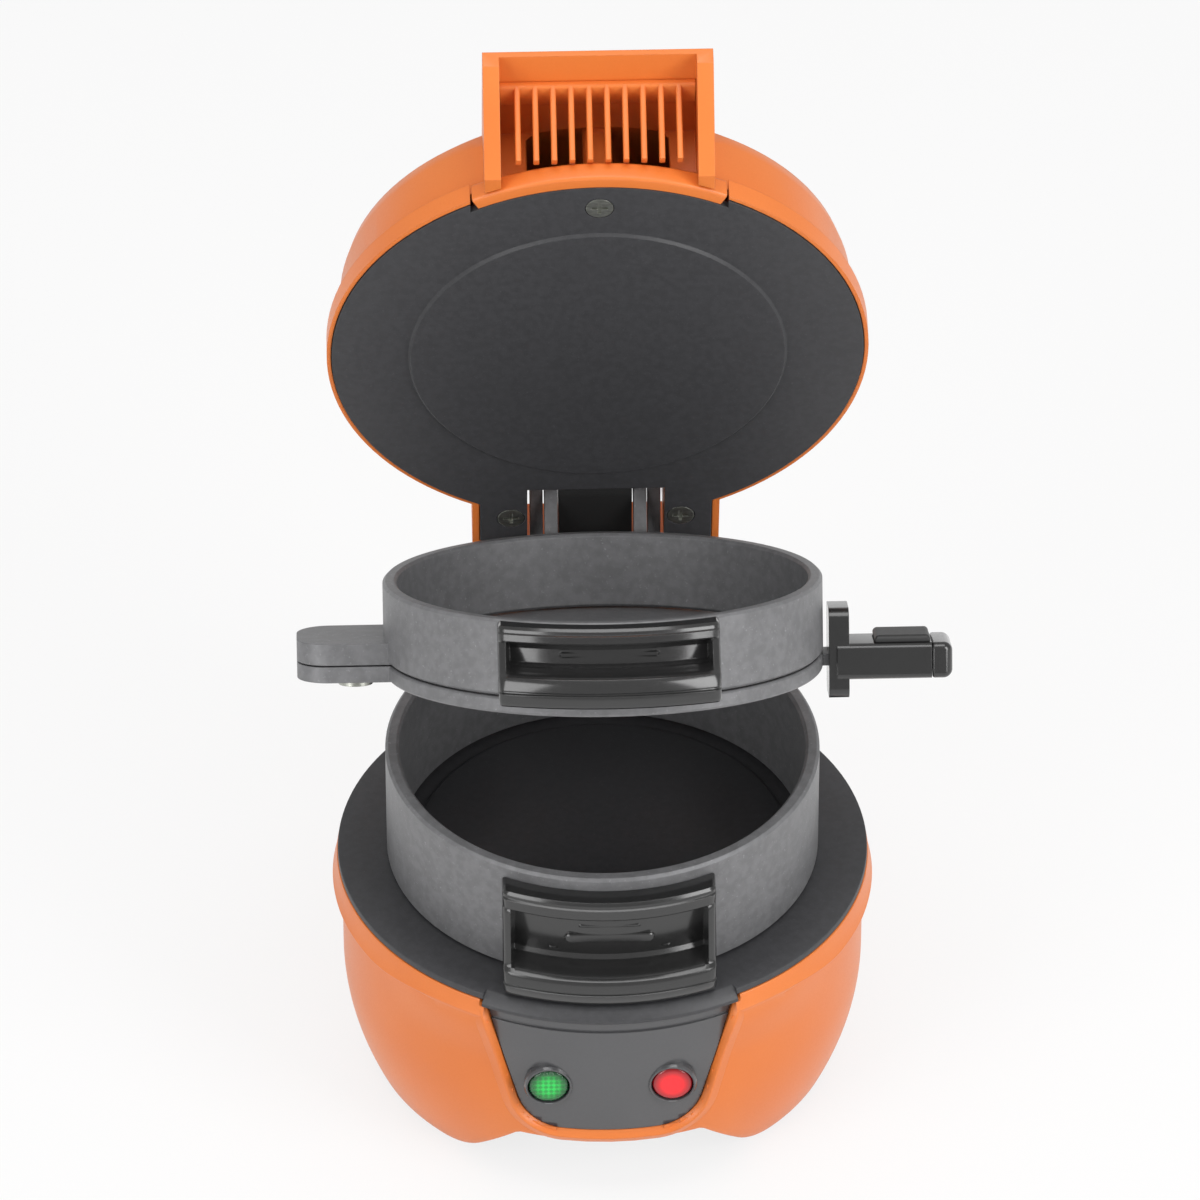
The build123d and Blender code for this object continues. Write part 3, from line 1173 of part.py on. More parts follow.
def hood_grille():
    """Insert at the lid's front: curved sill over the plate's edge, ten ribs and a top rail."""
    lip_inner = LID_PLATE_RADIUS - LID_PLATE_FRONT_CUT + SEAT_GAP
    sill = ring_band(SILL_INNER_RADIUS, LID_RADIUS, LID_PLATE_THICKNESS + 0.1, LID_RIM_HEIGHT)
    sill += ring_band(lip_inner, LID_RADIUS, -SILL_DROP, LID_RIM_HEIGHT)
    grille = sill & front_block(NOTCH_HALF, 0)
    top = HOOD_CEILING_Z - GRILLE_GAP
    inside = HOOD_HALF - HOOD_CHEEK - GRILLE_GAP
    # The ribs lean outwards towards the hood's ceiling.
    lean = FIN_LEAN * (top - LID_RIM_HEIGHT) / (HOOD_CEILING_Z - LID_RIM_HEIGHT)
    top_y = -(LID_RADIUS + lean)
    foot_y = -(LID_RADIUS - OVER)
    grille += block(
        (-inside, inside), (top_y, top_y + GRILLE_RAIL_DEPTH),
        (lid_at(top - GRILLE_RAIL_HEIGHT), lid_at(top)),
    )
    for index in range(FIN_COUNT):
        x = (index - (FIN_COUNT - 1) / 2) * FIN_PITCH
        grille += side_plate(
            [
                (foot_y, lid_at(LID_RIM_HEIGHT - FIN_ROOT)), (top_y, lid_at(top - FIN_ROOT)),
                (top_y + FIN_DEPTH, lid_at(top - FIN_ROOT)),
                (foot_y + FIN_DEPTH, lid_at(LID_RIM_HEIGHT - FIN_ROOT)),
            ],
            x - FIN_THICKNESS / 2, x + FIN_THICKNESS / 2,
        )
    return [grille]


def lid_cooking_plate():
    """Upper plate with a tongue under each side of the neck."""
    plate = heat_plate(LID_Z, -1, LID_PLATE_RADIUS, LID_PLATE_THICKNESS, LID_CORE_HEIGHT)
    back_z = lid_at(LID_PLATE_THICKNESS)
    tongue_half = NECK_HALF_WIDTH - FORK_WALL
    plate += block((-tongue_half, tongue_half), (NECK_FRONT_Y, NECK_BACK_Y - FORK_WALL), (LID_Z, back_z))
    plate -= block((-FORK_X, FORK_X), (SLOT_FRONT_Y, FAR), (0, FAR))
    # Room behind the plate for the round wall of the hinge slot.
    room_half = FORK_X + FORK_WALL + ROOM_GAP
    room = on_pin(SLOT_RADIUS + BARREL_WALL + ROOM_GAP, -room_half, room_half)
    room += block((-room_half, room_half), (BARREL_ROOM_Y, FAR), (0, PIN_Z))
    plate -= room & block((-FAR, FAR), (0, FAR), (back_z, PIN_Z))
    front_cut = disc(FAR, 0, lid_at(LID_CORE_HEIGHT)) - disc(LID_PLATE_RADIUS - LID_PLATE_FRONT_CUT, 0, FAR)
    plate -= front_cut & front_block(NOTCH_HALF + SEAT_GAP, 0)
    for x, y, _ in lid_screw_places():
        plate -= post(LID_SHANK + FIT_GAP, x, y, 0, FAR)
        plate -= post(LID_SCREW_HEAD + LID_HEAD_PLAY, x, y, 0, lid_at(LID_HEAD_HEIGHT))
        plate -= post(LID_BOSS_RADIUS + ROOM_GAP, x, y, back_z, FAR)
    return [plate]


def lid_plate_screws():
    return [
        screw(
            LID_SCREW_HEAD, LID_HEAD_HEIGHT, LID_SHANK, length - LID_HEAD_HEIGHT, x, y,
            lid_at(LID_HEAD_HEIGHT),
        )
        for x, y, length in lid_screw_places()
    ]


def lid_wiring():
    """Leads from the upper element's ends into the hollow cheeks of the neck."""
    leads = []
    for side, (x, y, z) in zip((-1, 1), element_ends(LID_BACK_Z, -1)):
        run_z = z + 4.0
        end_x = side * LID_LEAD_X
        leads.append(lead([(x, y, z), (x, y, run_z), (end_x, y + 6.0, run_z), (end_x, PIN_Y - 8.0, run_z)]))
    return leads


# ================================================================ write every sub-part
base_parts = {
    "base_housing": base_housing(),
    "base_bottom_cover": base_bottom_cover(),
    "bottom_cover_screws": bottom_cover_screws(),
    "rubber_feet": rubber_feet(),
    "control_panel": control_panel(),
    "preheat_lens": lamp_lens(-LAMP_X),
    "power_lens": lamp_lens(LAMP_X),
    "indicator_lamps": indicator_lamps(),
    "base_cooking_plate": base_cooking_plate(),
    "base_plate_screws": deck_screws(),
    "lower_heating_element": heating_element(DECK_BACK_Z, 1),
    "lower_heat_shield": heat_shield(DECK_BACK_Z, 1),
    "lower_shield_screw": shield_screw(DECK_BACK_Z, 1),
    "thermostat": thermostat(),
    "thermal_fuse": thermal_fuse(),
    "terminal_block": terminal_block(),
    "base_wiring": base_wiring(),
    "cord_grommet": cord_grommet(),
    "hinge_post": hinge_post(),
    "hinge_post_screws": hinge_post_screws(),
    "hinge_pin": hinge_pin(),
    "hinge_pin_clips": hinge_pin_clips(),
}
lower_ring_parts = {
    "lower_ring": lower_ring(),
    "lower_ring_grip": ring_grip(
        LOWER_RING_Z, LOWER_GRIP_LIFT, LOWER_GRIP_HEIGHT, LOWER_GRIP_HALF, LOWER_GRIP_TOP_LIP,
    ),
    "lower_grip_screws": grip_screws(LOWER_RING_Z + LOWER_GRIP_LIFT),
}
upper_ring_parts = {
    "upper_ring": upper_ring(),
    "upper_ring_grip": ring_grip(
        UPPER_RING_Z, 0, UPPER_GRIP_HEIGHT, UPPER_GRIP_HALF, UPPER_GRIP_TOP_LIP,
    ),
    "upper_grip_screws": grip_screws(UPPER_RING_Z),
    "plate_pivot_screw": plate_pivot_screw(),
}
egg_plate_parts = {
    "egg_plate": egg_plate(),
    "pivot_spring_washer": pivot_washer(),
    "plate_handle_body": plate_handle_body(),
    "plate_handle_cap": plate_handle_cap(),
    "plate_thumb_pad": plate_thumb_pad(),
    "plate_handle_screw": plate_handle_screw(),
}
lid_parts = {
    "lid_housing": lid_housing(),
    "hood_grille": hood_grille(),
    "lid_cooking_plate": lid_cooking_plate(),
    "lid_plate_screws": lid_plate_screws(),
    "upper_heating_element": heating_element(LID_BACK_Z, -1),
    "upper_heat_shield": heat_shield(LID_BACK_Z, -1),
    "upper_shield_screw": shield_screw(LID_BACK_Z, -1),
    "lid_wiring": lid_wiring(),
}

for parts, angle in (
    (base_parts, 0.0),
    (lower_ring_parts, LOWER_RING_OPEN),
    (upper_ring_parts, UPPER_RING_OPEN),
    (egg_plate_parts, UPPER_RING_OPEN),
    (lid_parts, LID_OPEN),
):
    for name, shapes in parts.items():
        save(name, shapes, angle)
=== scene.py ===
import json
import math

import bmesh
import bpy
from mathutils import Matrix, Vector

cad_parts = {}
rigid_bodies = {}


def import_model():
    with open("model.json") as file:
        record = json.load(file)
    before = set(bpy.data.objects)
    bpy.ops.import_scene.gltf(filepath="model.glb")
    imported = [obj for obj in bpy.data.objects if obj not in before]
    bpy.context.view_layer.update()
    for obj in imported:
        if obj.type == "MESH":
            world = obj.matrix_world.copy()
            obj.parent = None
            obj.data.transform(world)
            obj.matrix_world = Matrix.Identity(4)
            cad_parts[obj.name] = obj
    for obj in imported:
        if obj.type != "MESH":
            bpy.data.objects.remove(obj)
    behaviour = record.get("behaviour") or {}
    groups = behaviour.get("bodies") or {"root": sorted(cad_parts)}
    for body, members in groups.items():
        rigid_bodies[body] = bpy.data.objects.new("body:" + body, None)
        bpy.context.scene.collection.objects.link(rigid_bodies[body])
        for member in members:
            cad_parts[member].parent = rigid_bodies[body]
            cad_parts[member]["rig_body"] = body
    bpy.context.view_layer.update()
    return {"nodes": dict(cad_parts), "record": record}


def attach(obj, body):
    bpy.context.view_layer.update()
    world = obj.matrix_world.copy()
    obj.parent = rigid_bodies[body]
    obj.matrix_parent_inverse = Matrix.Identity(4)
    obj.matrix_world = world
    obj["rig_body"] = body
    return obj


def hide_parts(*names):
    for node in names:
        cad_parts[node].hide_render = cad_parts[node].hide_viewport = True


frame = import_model()

# Breakfast sandwich maker. Everything is drawn in millimetres in the closed stack, as the CAD
# source draws it, and turned about the hinge pin to its rest pose when it becomes a mesh.
MM = 0.001
PIN_Y = 62.5
PIN_Z = 128.0
SHARP_ANGLE = math.radians(28)
SOFT_ANGLE = math.radians(35)
LAMP_X = 15.3
LAMP_Z = 35.3
LENS_RADIUS = 5.1
OPENED = {"base": 0.0, "lower_ring": 0.0, "upper_ring": 25.4, "egg_plate": 25.4, "lid": 75.4}


# ---------------------------------------------------------------- material tools
class Wire:
    """One output of a material's nodes; sums and products of wires add Math nodes."""

    def __init__(self, finish, socket):
        self.finish = finish
        self.socket = socket

    def maths(self, operation, first, second):
        return self.finish.node("ShaderNodeMath", {"operation": operation}, {0: first, 1: second})

    def __add__(self, other):
        return self.maths("ADD", self, other)

    def __sub__(self, other):
        return self.maths("SUBTRACT", self, other)

    def __rsub__(self, other):
        return self.maths("SUBTRACT", other, self)

    def __mul__(self, other):
        return self.maths("MULTIPLY", self, other)

    def __pow__(self, other):
        return self.maths("POWER", self, other)

    def over(self, low, high):
        """0 below low, 1 above high, smooth between."""
        settings = {"interpolation_type": "SMOOTHSTEP"}
        return self.finish.node("ShaderNodeMapRange", settings, {0: self, 1: low, 2: high})


class Finish:
    """A material whose nodes are written as Python expressions."""

    def __init__(self, name):
        self.material = bpy.data.materials.new(name)
        self.material.use_nodes = True
        self.tree = self.material.node_tree
        self.shader = self.tree.nodes["Principled BSDF"]

    def node(self, kind, settings=None, sockets=None, output=0):
        made = self.tree.nodes.new(kind)
        for key, value in (settings or {}).items():
            setattr(made, key, value)
        for key, value in (sockets or {}).items():
            if isinstance(value, Wire):
                self.tree.links.new(value.socket, made.inputs[key])
            else:
                made.inputs[key].default_value = value
        return Wire(self, made.outputs[output])

    def set(self, **values):
        """Constant or linked inputs of the shader, spaces written as underscores."""
        for key, value in values.items():
            socket = self.shader.inputs[key.replace("_", " ")]
            if isinstance(value, Wire):
                self.tree.links.new(value.socket, socket)
            else:
                socket.default_value = value
        return self

    def place(self):
        return self.node("ShaderNodeTexCoord", output="Object")

    def axes(self, vector):
        """The three coordinates of a vector."""
        return [self.node("ShaderNodeSeparateXYZ", {}, {0: vector}, axis) for axis in range(3)]

    def noise(self, size, detail=2.0, roughness=0.5, vector=None):
        """Soft noise from 0 to 1 whose blotches are about size millimetres."""
        sockets = {"Scale": 1.0 / (size * MM), "Detail": detail, "Roughness": roughness}
        sockets["Vector"] = vector or self.place()
        return self.node("ShaderNodeTexNoise", {}, sockets)

    def mix(self, share, first, second):
        """Colour between two colours."""
        sockets = {0: share, 6: first, 7: second}
        return self.node("ShaderNodeMix", {"data_type": "RGBA"}, sockets, 2)

    def relief(self, height, depth, edge=0.35):
        """Bumps of depth millimetres on edges rounded over edge millimetres."""
        soft = self.node("ShaderNodeBevel", {"samples": 4}, {"Radius": edge * MM})
        sockets = {"Strength": 1.0, "Distance": depth * MM, "Height": height, "Normal": soft}
        self.set(Normal=self.node("ShaderNodeBump", {}, sockets))
        return self


def grey(value, blue=1.0):
    return (value, value, value * blue, 1.0)


def moulded_plastic(name, colour, shade, roughness, grain, depth, coat=0.0):
    """Injection-moulded plastic: fine spark grain and a slow change of tone and gloss."""
    made = Finish(name)
    cloud = made.noise(38.0, 2.0)
    fine = made.noise(grain, 3.0, 0.6)
    share = cloud.over(0.35, 0.65) * 0.5 + fine.over(0.3, 0.7) * 0.25
    made.set(Base_Color=made.mix(share, colour, shade))
    made.set(Roughness=fine * 0.16 + (roughness - 0.08), Specular_IOR_Level=0.5)
    made.set(Coat_Weight=coat, Coat_Roughness=0.12)
    return made.relief(fine, depth)


def cast_metal(name, colour, shade, roughness, grain, depth, metallic=0.0):
    """Sand-textured casting under a thin dark coating, with worn pale specks."""
    made = Finish(name)
    fine = made.noise(grain, 4.0, 0.65)
    pits = made.noise(grain * 3.2, 2.0, 0.5)
    speck = fine.over(0.60, 0.74)
    tone = made.mix(pits.over(0.3, 0.7), shade, colour)
    pale = tuple(min(1.0, c * 1.9) for c in colour[:3]) + (1.0,)
    made.set(Base_Color=made.mix(speck * 0.55, tone, pale))
    made.set(Roughness=roughness - speck * 0.12 + (pits - 0.5) * 0.10, Metallic=metallic)
    return made.relief(fine * 0.7 + pits * 0.3, depth)


def brushed_metal(name, colour, roughness):
    """Plated steel with fine scratches."""
    made = Finish(name)
    x, y, z = made.axes(made.place())
    streak = made.node("ShaderNodeCombineXYZ", {}, {0: x * 0.2, 1: y, 2: z})
    scratch = made.noise(0.5, 4.0, 0.7, streak)
    dull = tuple(c * 0.7 for c in colour[:3]) + (1.0,)
    made.set(Base_Color=made.mix(scratch.over(0.3, 0.7), dull, colour))
    made.set(Metallic=1.0, Roughness=scratch * 0.3 + roughness)
    return made.relief(scratch, 0.02, 0.2)


ORANGE = (0.745, 0.198, 0.037, 1.0)
ORANGE_DEEP = (0.690, 0.168, 0.028, 1.0)

finishes = {
    "orange_plastic": moulded_plastic("orange plastic", ORANGE, ORANGE_DEEP, 0.36, 0.5, 0.012),
    "black_plastic": moulded_plastic("black plastic", grey(0.020), grey(0.026), 0.48, 0.6, 0.03),
    "black_gloss": moulded_plastic(
        "glossy black plastic", grey(0.014), grey(0.020), 0.20, 1.2, 0.004, 0.6),
    "panel_gloss": moulded_plastic(
        "panel plastic", grey(0.062, 1.05), grey(0.072, 1.05), 0.22, 0.8, 0.004, 0.6),
    "dark_coated_plate": cast_metal(
        "coated cooking plate", grey(0.046, 1.08), grey(0.038, 1.08), 0.46, 0.55, 0.02),
    "grey_cast": cast_metal(
        "sand-textured casting", grey(0.195, 1.03), grey(0.160, 1.03), 0.46, 0.75, 0.05, 0.25),
    "zinc_steel": brushed_metal("zinc plated steel", (0.52, 0.53, 0.48, 1.0), 0.22),
    "element_steel": brushed_metal("heater tube steel", (0.32, 0.30, 0.28, 1.0), 0.35),
    "shield_sheet": brushed_metal("bright shield sheet", (0.62, 0.62, 0.62, 1.0), 0.25),
    "pale_ceramic": moulded_plastic("pale ceramic", grey(0.70), grey(0.62), 0.5, 0.8, 0.02),
    "lead_sleeve": moulded_plastic("lead sleeve", grey(0.55), grey(0.45), 0.6, 0.4, 0.03),
    "black_rubber": moulded_plastic("black rubber", grey(0.018), grey(0.026), 0.75, 0.7, 0.04),
    "lamp_glass": moulded_plastic(
        "lamp capsule", (0.8, 0.75, 0.7, 1.0), grey(0.7), 0.15, 0.8, 0.002),
}


def lamp_lens(name, side, deep, bright, prisms):
    """Coloured lamp lens: dark towards its rim, bright at its middle, with prisms inside."""
    made = Finish(name)
    x, y, z = made.axes(made.place())
    dx = (x - side * LAMP_X * MM) * (1.0 / (LENS_RADIUS * MM))
    dz = (z - LAMP_Z * MM) * (1.0 / (LENS_RADIUS * MM))
    middle = 1.0 - ((dx * dx + dz * dz) ** 0.5).over(0.25, 0.95)
    first = made.node("ShaderNodeMath", {"operation": "SINE"}, {0: (dx + dz) * 12.0})
    second = made.node("ShaderNodeMath", {"operation": "SINE"}, {0: (dx - dz) * 12.0})
    grid = (first * second).over(-0.5, 0.6) * prisms
    lit = middle * (1.0 - grid * 0.5)
    made.set(Base_Color=made.mix(lit, deep, bright), Roughness=0.14, Coat_Weight=0.6)
    made.set(Emission_Color=made.mix(lit, grey(0.0), bright), Emission_Strength=0.55)
    return made.relief(grid, 0.15, 0.5)


finishes["green_lens"] = lamp_lens(
    "green lens", -1, (0.0, 0.06, 0.012, 1.0), (0.002, 0.42, 0.05, 1.0), 1.0)
finishes["red_lens"] = lamp_lens(
    "red lens", 1, (0.28, 0.0, 0.004, 1.0), (0.80, 0.0, 0.006, 1.0), 0.0)


def dress(thing, slot):
    thing.data.materials.clear()
    thing.data.materials.append(finishes[slot].material)


SLOT_OF = {}
for row in frame["record"]["subparts"]:
    SLOT_OF[row["node"]] = row["material_slot"]
for node, slot in SLOT_OF.items():
    dress(frame["nodes"][node], slot)


# ---------------------------------------------------------------- drawing tools
class Form:
    """Points and faces of a piece while it is drawn, in millimetres."""

    def __init__(self):
        self.points = []
        self.faces = []

    def loft(self, loops, around=False):
        """Skin over closed loops of points: around joins the last loop to the first."""
        start = len(self.points)
        count = len(loops[0])
        for loop in loops:
            self.points += [tuple(point) for point in loop]
        total = len(loops)
        for row in range(total if around else total - 1):
            below = start + row * count
            above = start + ((row + 1) % total) * count
            for i in range(count):
                j = (i + 1) % count
                self.faces.append((below + i, below + j, above + j, above + i))
        if not around:
            self.faces.append(tuple(range(start + count - 1, start - 1, -1)))
            last = start + (total - 1) * count
            self.faces.append(tuple(range(last, last + count)))
        return self

    def lathe(self, outline, angles, whole=False):
        """Outline of (radius, height) at each angle, as a list or a function of the angle."""
        at = outline if callable(outline) else (lambda angle: outline)
        loops = []
        for angle in angles:
            c, s = math.cos(math.radians(angle)), math.sin(math.radians(angle))
            loops.append([(r * c, r * s, z) for r, z in at(angle)])
        return self.loft(loops, around=whole)

    def without(self, inside):
        """Leave out the faces whose corners all lie inside an opening."""
        self.faces = [
            face for face in self.faces if not all(inside(*self.points[i]) for i in face)
        ]
        return self

    def slab(self, outline, low, high, axis="x"):
        """Flat outline carried along an axis: (y, z), (x, z) or (x, y) corners."""
        places = {
            "x": lambda a, b, t: (t, a, b),
            "y": lambda a, b, t: (a, t, b),
            "z": lambda a, b, t: (a, b, t),
        }
        return self.loft([[places[axis](a, b, t) for a, b in outline] for t in (low, high)])


def disc(a, b, radius, turn):
    """Round outline with a corner every turn degrees."""
    spokes = [math.radians(angle) for angle in range(0, 360, turn)]
    return [(a + radius * math.cos(spoke), b + radius * math.sin(spoke)) for spoke in spokes]


def rounded(corners, steps):
    """Closed outline from (a, b, radius) corners with round arcs."""
    outline = []
    for index, (a, b, radius) in enumerate(corners):
        before = Vector(corners[index - 1][:2])
        after = Vector(corners[(index + 1) % len(corners)][:2])
        here = Vector((a, b))
        if radius <= 0:
            outline.append((a, b))
            continue
        u, v = (before - here).normalized(), (after - here).normalized()
        bend = math.acos(max(-1.0, min(1.0, u.dot(v))))
        reach = radius / math.tan(bend / 2)
        centre = here + (u + v).normalized() * (radius / math.sin(bend / 2))
        start, end = here + u * reach - centre, here + v * reach - centre
        for step in range(steps + 1):
            share = step / steps
            spoke = start.lerp(end, share).normalized() * radius
            outline.append(tuple(centre + spoke))
    return outline


def spun(point, angle):
    """A point of the closed stack, turned about the hinge pin and put in metres."""
    x, y, z = point
    c, s = math.cos(math.radians(angle)), math.sin(math.radians(angle))
    dy, dz = y - PIN_Y, z - PIN_Z
    return (x * MM, (PIN_Y + dy * c + dz * s) * MM, (PIN_Z - dy * s + dz * c) * MM)


def shaded(mesh, build):
    """Write an edited mesh back, smooth except at its sharp edges."""
    for face in build.faces:
        face.smooth = True
    build.to_mesh(mesh)
    build.free()
    mesh.set_sharp_from_angle(angle=SHARP_ANGLE)
    return mesh


def mesh_of(form, name, body):
    mesh = bpy.data.meshes.new(name)
    mesh.from_pydata([spun(point, OPENED[body]) for point in form.points], [], form.faces)
    build = bmesh.new()
    build.from_mesh(mesh)
    bmesh.ops.remove_doubles(build, verts=build.verts, dist=0.004 * MM)
    bmesh.ops.dissolve_degenerate(build, edges=build.edges, dist=0.002 * MM)
    bmesh.ops.recalc_face_normals(build, faces=build.faces)
    return shaded(mesh, build)


def placed(name, data):
    """New object in the scene."""
    thing = bpy.data.objects.new(name, data)
    bpy.context.scene.collection.objects.link(thing)
    return thing


def soft_edges(thing, width):
    """Round the sharper edges over a width in millimetres."""
    soft = thing.modifiers.new("soft edges", "BEVEL")
    soft.width = width * MM
    soft.segments = 3
    soft.limit_method = "ANGLE"
    soft.angle_limit = SOFT_ANGLE
    soft.harden_normals = True


def plain(thing):
    """Replace an object's mesh with what its modifiers make of it."""
    bpy.context.view_layer.update()
    graph = bpy.context.evaluated_depsgraph_get()
    mesh = bpy.data.meshes.new_from_object(thing.evaluated_get(graph))
    thing.modifiers.clear()
    thing.data = mesh


def piece(name, form, body, slot, replaced=(), cutters=(), bevel=0.0):
    """Finish a piece: cut it, soften its edges, give it its material and its CAD body."""
    thing = placed(name, mesh_of(form, name, body))
    for cutter in cutters:
        tool = placed("cutter", mesh_of(cutter, "cutter", body))
        cut = thing.modifiers.new("cut", "BOOLEAN")
        cut.operation = "DIFFERENCE"
        cut.solver = "EXACT"
        cut.object = tool
        plain(thing)
        bpy.data.objects.remove(tool)
    if cutters:
        thing.data.set_sharp_from_angle(angle=SHARP_ANGLE)
    if bevel:
        soft_edges(thing, bevel)
    dress(thing, slot)
    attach(thing, body)
    if replaced:
        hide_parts(*replaced)
    return thing


def smooth(value):
    value = max(0.0, min(1.0, value))
    return value * value * (3 - 2 * value)


def softened(node, width):
    """Merged copy of a CAD node's mesh with really rounded edges, standing for the node."""
    source = frame["nodes"][node]
    mesh = source.data.copy()
    build = bmesh.new()
    build.from_mesh(mesh)
    bmesh.ops.remove_doubles(build, verts=build.verts, dist=0.002 * MM)
    bmesh.ops.dissolve_limit(
        build, angle_limit=math.radians(0.6), verts=build.verts, edges=build.edges)
    thing = placed(node + "_soft", shaded(mesh, build))
    soft_edges(thing, width)
    dress(thing, SLOT_OF[node])
    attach(thing, source["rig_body"])
    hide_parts(node)
    return thing


# ---------------------------------------------------------------- base
RIM_Z = 54.8
PANEL_TOP = 57.3
PANEL_BOTTOM = 20.8
PANEL_HALF = 20.5
PANEL_SLOPE = 0.2685
PANEL_CORNER = 11.0
PANEL_FLAT = 12.06
PANEL_ARC_TOP = 28.95
LEDGE_TOP = 58.9
WAIST_RADIUS = 65.3
FOOT_INSET = 6.7
ARCH_TOP = 17.0
ARCH_HALF = 21.0
ARCH_FOOT = 32.0
FOOT_Z = 1.5
WALL = 2.5
TOWER_HALF = 28.0
TOWER_BOTTOM = 18.0
TOWER_TOP = 107.0
SCREW_HOLE_RADIUS = 3.3
BORE_RADIUS = 3.5
BORE_Z = 32.0
FOOT_X = 38.0
FOOT_Y = 31.5
FOOT_RADIUS = 6.5


def frontness(angle):
    return smooth((-math.sin(math.radians(angle)) - 0.5) / 0.32)


def body_radius(angle, z):
    """Outer skin of the base: a barrel that fills out under the rim at its front."""
    drop = max(0.0, (31.0 - z) / 29.5)
    fullness = 2.0 * smooth((z - 38.0) / 16.0) * frontness(angle)
    return WAIST_RADIUS - FOOT_INSET * drop * drop + fullness


def crease_z(angle):
    """Lower edge of the rim's bevel, which dips towards the sides."""
    return RIM_Z - 2.6 * (1.0 - frontness(angle))


def arch_z(x):
    """Lower edge of the wall: arches front and back between rounded feet."""
    x = abs(x)
    if x < ARCH_HALF:
        return ARCH_TOP
    if x < ARCH_FOOT:
        return ARCH_TOP - (x - ARCH_HALF) * 1.04
    return FOOT_Z + 4.06 * (1.0 - min(1.0, (x - ARCH_FOOT) / 9.0)) ** 2


def base_outline(angle):
    """Section of the base wall: rim, bevelled edge, outer skin, foot and inner skin."""
    crease = crease_z(angle)
    skirt = arch_z((WAIST_RADIUS - FOOT_INSET) * math.cos(math.radians(angle)))
    under = body_radius(angle, crease - 0.8)
    outline = [
        (57.5, 56.5), (57.5, 59.0), (66.4, 59.0), (66.55, 58.85),
        (66.95, 57.4 + (crease - RIM_Z) * 0.5), (67.45, crease + 0.7), (67.68, crease + 0.2),
        (67.62, crease - 0.2), (min(67.4, under + 0.3), crease - 0.7),
    ]
    for step in range(30):
        z = crease - 1.1 + (skirt + 0.6 - crease + 1.1) * step / 29
        outline.append((body_radius(angle, z), z))
    foot = body_radius(angle, skirt)
    outline += [(foot - 0.15, skirt + 0.15), (foot - 0.6, skirt)]
    outline += [(foot - 2.1, skirt), (foot - WALL, skirt + 0.5)]
    for step in range(1, 9):
        z = skirt + 0.5 + (54.0 - skirt) * step / 8
        outline.append((min(body_radius(angle, z) - WALL, 64.0), z))
    outline.append((60.0, 56.5))
    return outline


def panel_path():
    """Edge of the control panel from its upper left corner round its foot to the upper right."""
    left = []
    for step in range(16):
        z = LEDGE_TOP - (LEDGE_TOP - PANEL_ARC_TOP) * step / 15
        left.append((-(PANEL_HALF + (z - PANEL_BOTTOM) * PANEL_SLOPE), z))
    for step in range(1, 12):
        turn = math.radians(195.0 + 75.0 * step / 12)
        x = -PANEL_FLAT + PANEL_CORNER * math.cos(turn)
        left.append((x, PANEL_BOTTOM + PANEL_CORNER + PANEL_CORNER * math.sin(turn)))
    left.append((-PANEL_FLAT, PANEL_BOTTOM))
    left.append((-PANEL_FLAT / 2, PANEL_BOTTOM))
    return left + [(0.0, PANEL_BOTTOM)] + [(-x, z) for x, z in reversed(left)]


def skin_point(x, z, height):
    """Point at a height above the base's skin, held under the slope of the rim's bevel."""
    angle = math.degrees(math.atan2(-math.sqrt(max(1.0, 65.0 ** 2 - x * x)), x))
    radius = body_radius(angle, min(z, RIM_Z)) + height
    if z > RIM_Z - 1.5:
        radius = min(radius, 67.75 - (z - RIM_Z) * 0.28 + min(0.0, height - 1.0))
    return (x, -math.sqrt(radius * radius - x * x), z)


def frame_form():
    """Raised frame round the panel: inner slope, crest, outer chamfer down to the skin.

    Its section is (distance out from the panel's edge, height above the skin)."""
    section = [
        (-1.6, -3.9), (-1.6, -3.2), (0.2, -3.1), (0.25, -0.9), (0.6, -0.35), (1.5, 0.75),
        (1.75, 0.95), (2.05, 0.98), (2.35, 0.85), (4.1, 0.0), (4.3, -0.6), (4.0, -2.2),
    ]
    path = panel_path()
    loops = []
    for index, (x, z) in enumerate(path):
        ahead = Vector(path[min(index + 1, len(path) - 1)])
        behind = Vector(path[max(index - 1, 0)])
        direction = (ahead - behind).normalized()
        normal = (direction.y, -direction.x)
        loops.append([
            skin_point(x + out * normal[0], z + out * normal[1], height) for out, height in section
        ])
    return Form().loft(loops)


def panel_radius(z):
    """Face of the panel: a nearly upright band above its crease, a slope below it."""
    if z > 53.2:
        return 64.6
    if z > 44.5:
        return 65.1 + 0.1 * (z - 44.5) / 12.8
    return 63.8 + 1.3 * (z - PANEL_BOTTOM) / 23.7


def panel_half(z):
    """Half of the panel's width at a height."""
    if z < PANEL_ARC_TOP:
        rise = PANEL_BOTTOM + PANEL_CORNER - z
        return PANEL_FLAT + math.sqrt(max(0.0, PANEL_CORNER ** 2 - rise ** 2))
    return PANEL_HALF + (z - PANEL_BOTTOM) * PANEL_SLOPE


def under_frame(x, y, z):
    """Whether a point of the shell is behind the panel or its frame."""
    reach = panel_half(max(z, PANEL_BOTTOM)) + 2.2
    return y < -30.0 and z > PANEL_BOTTOM - 2.0 and abs(x) < reach


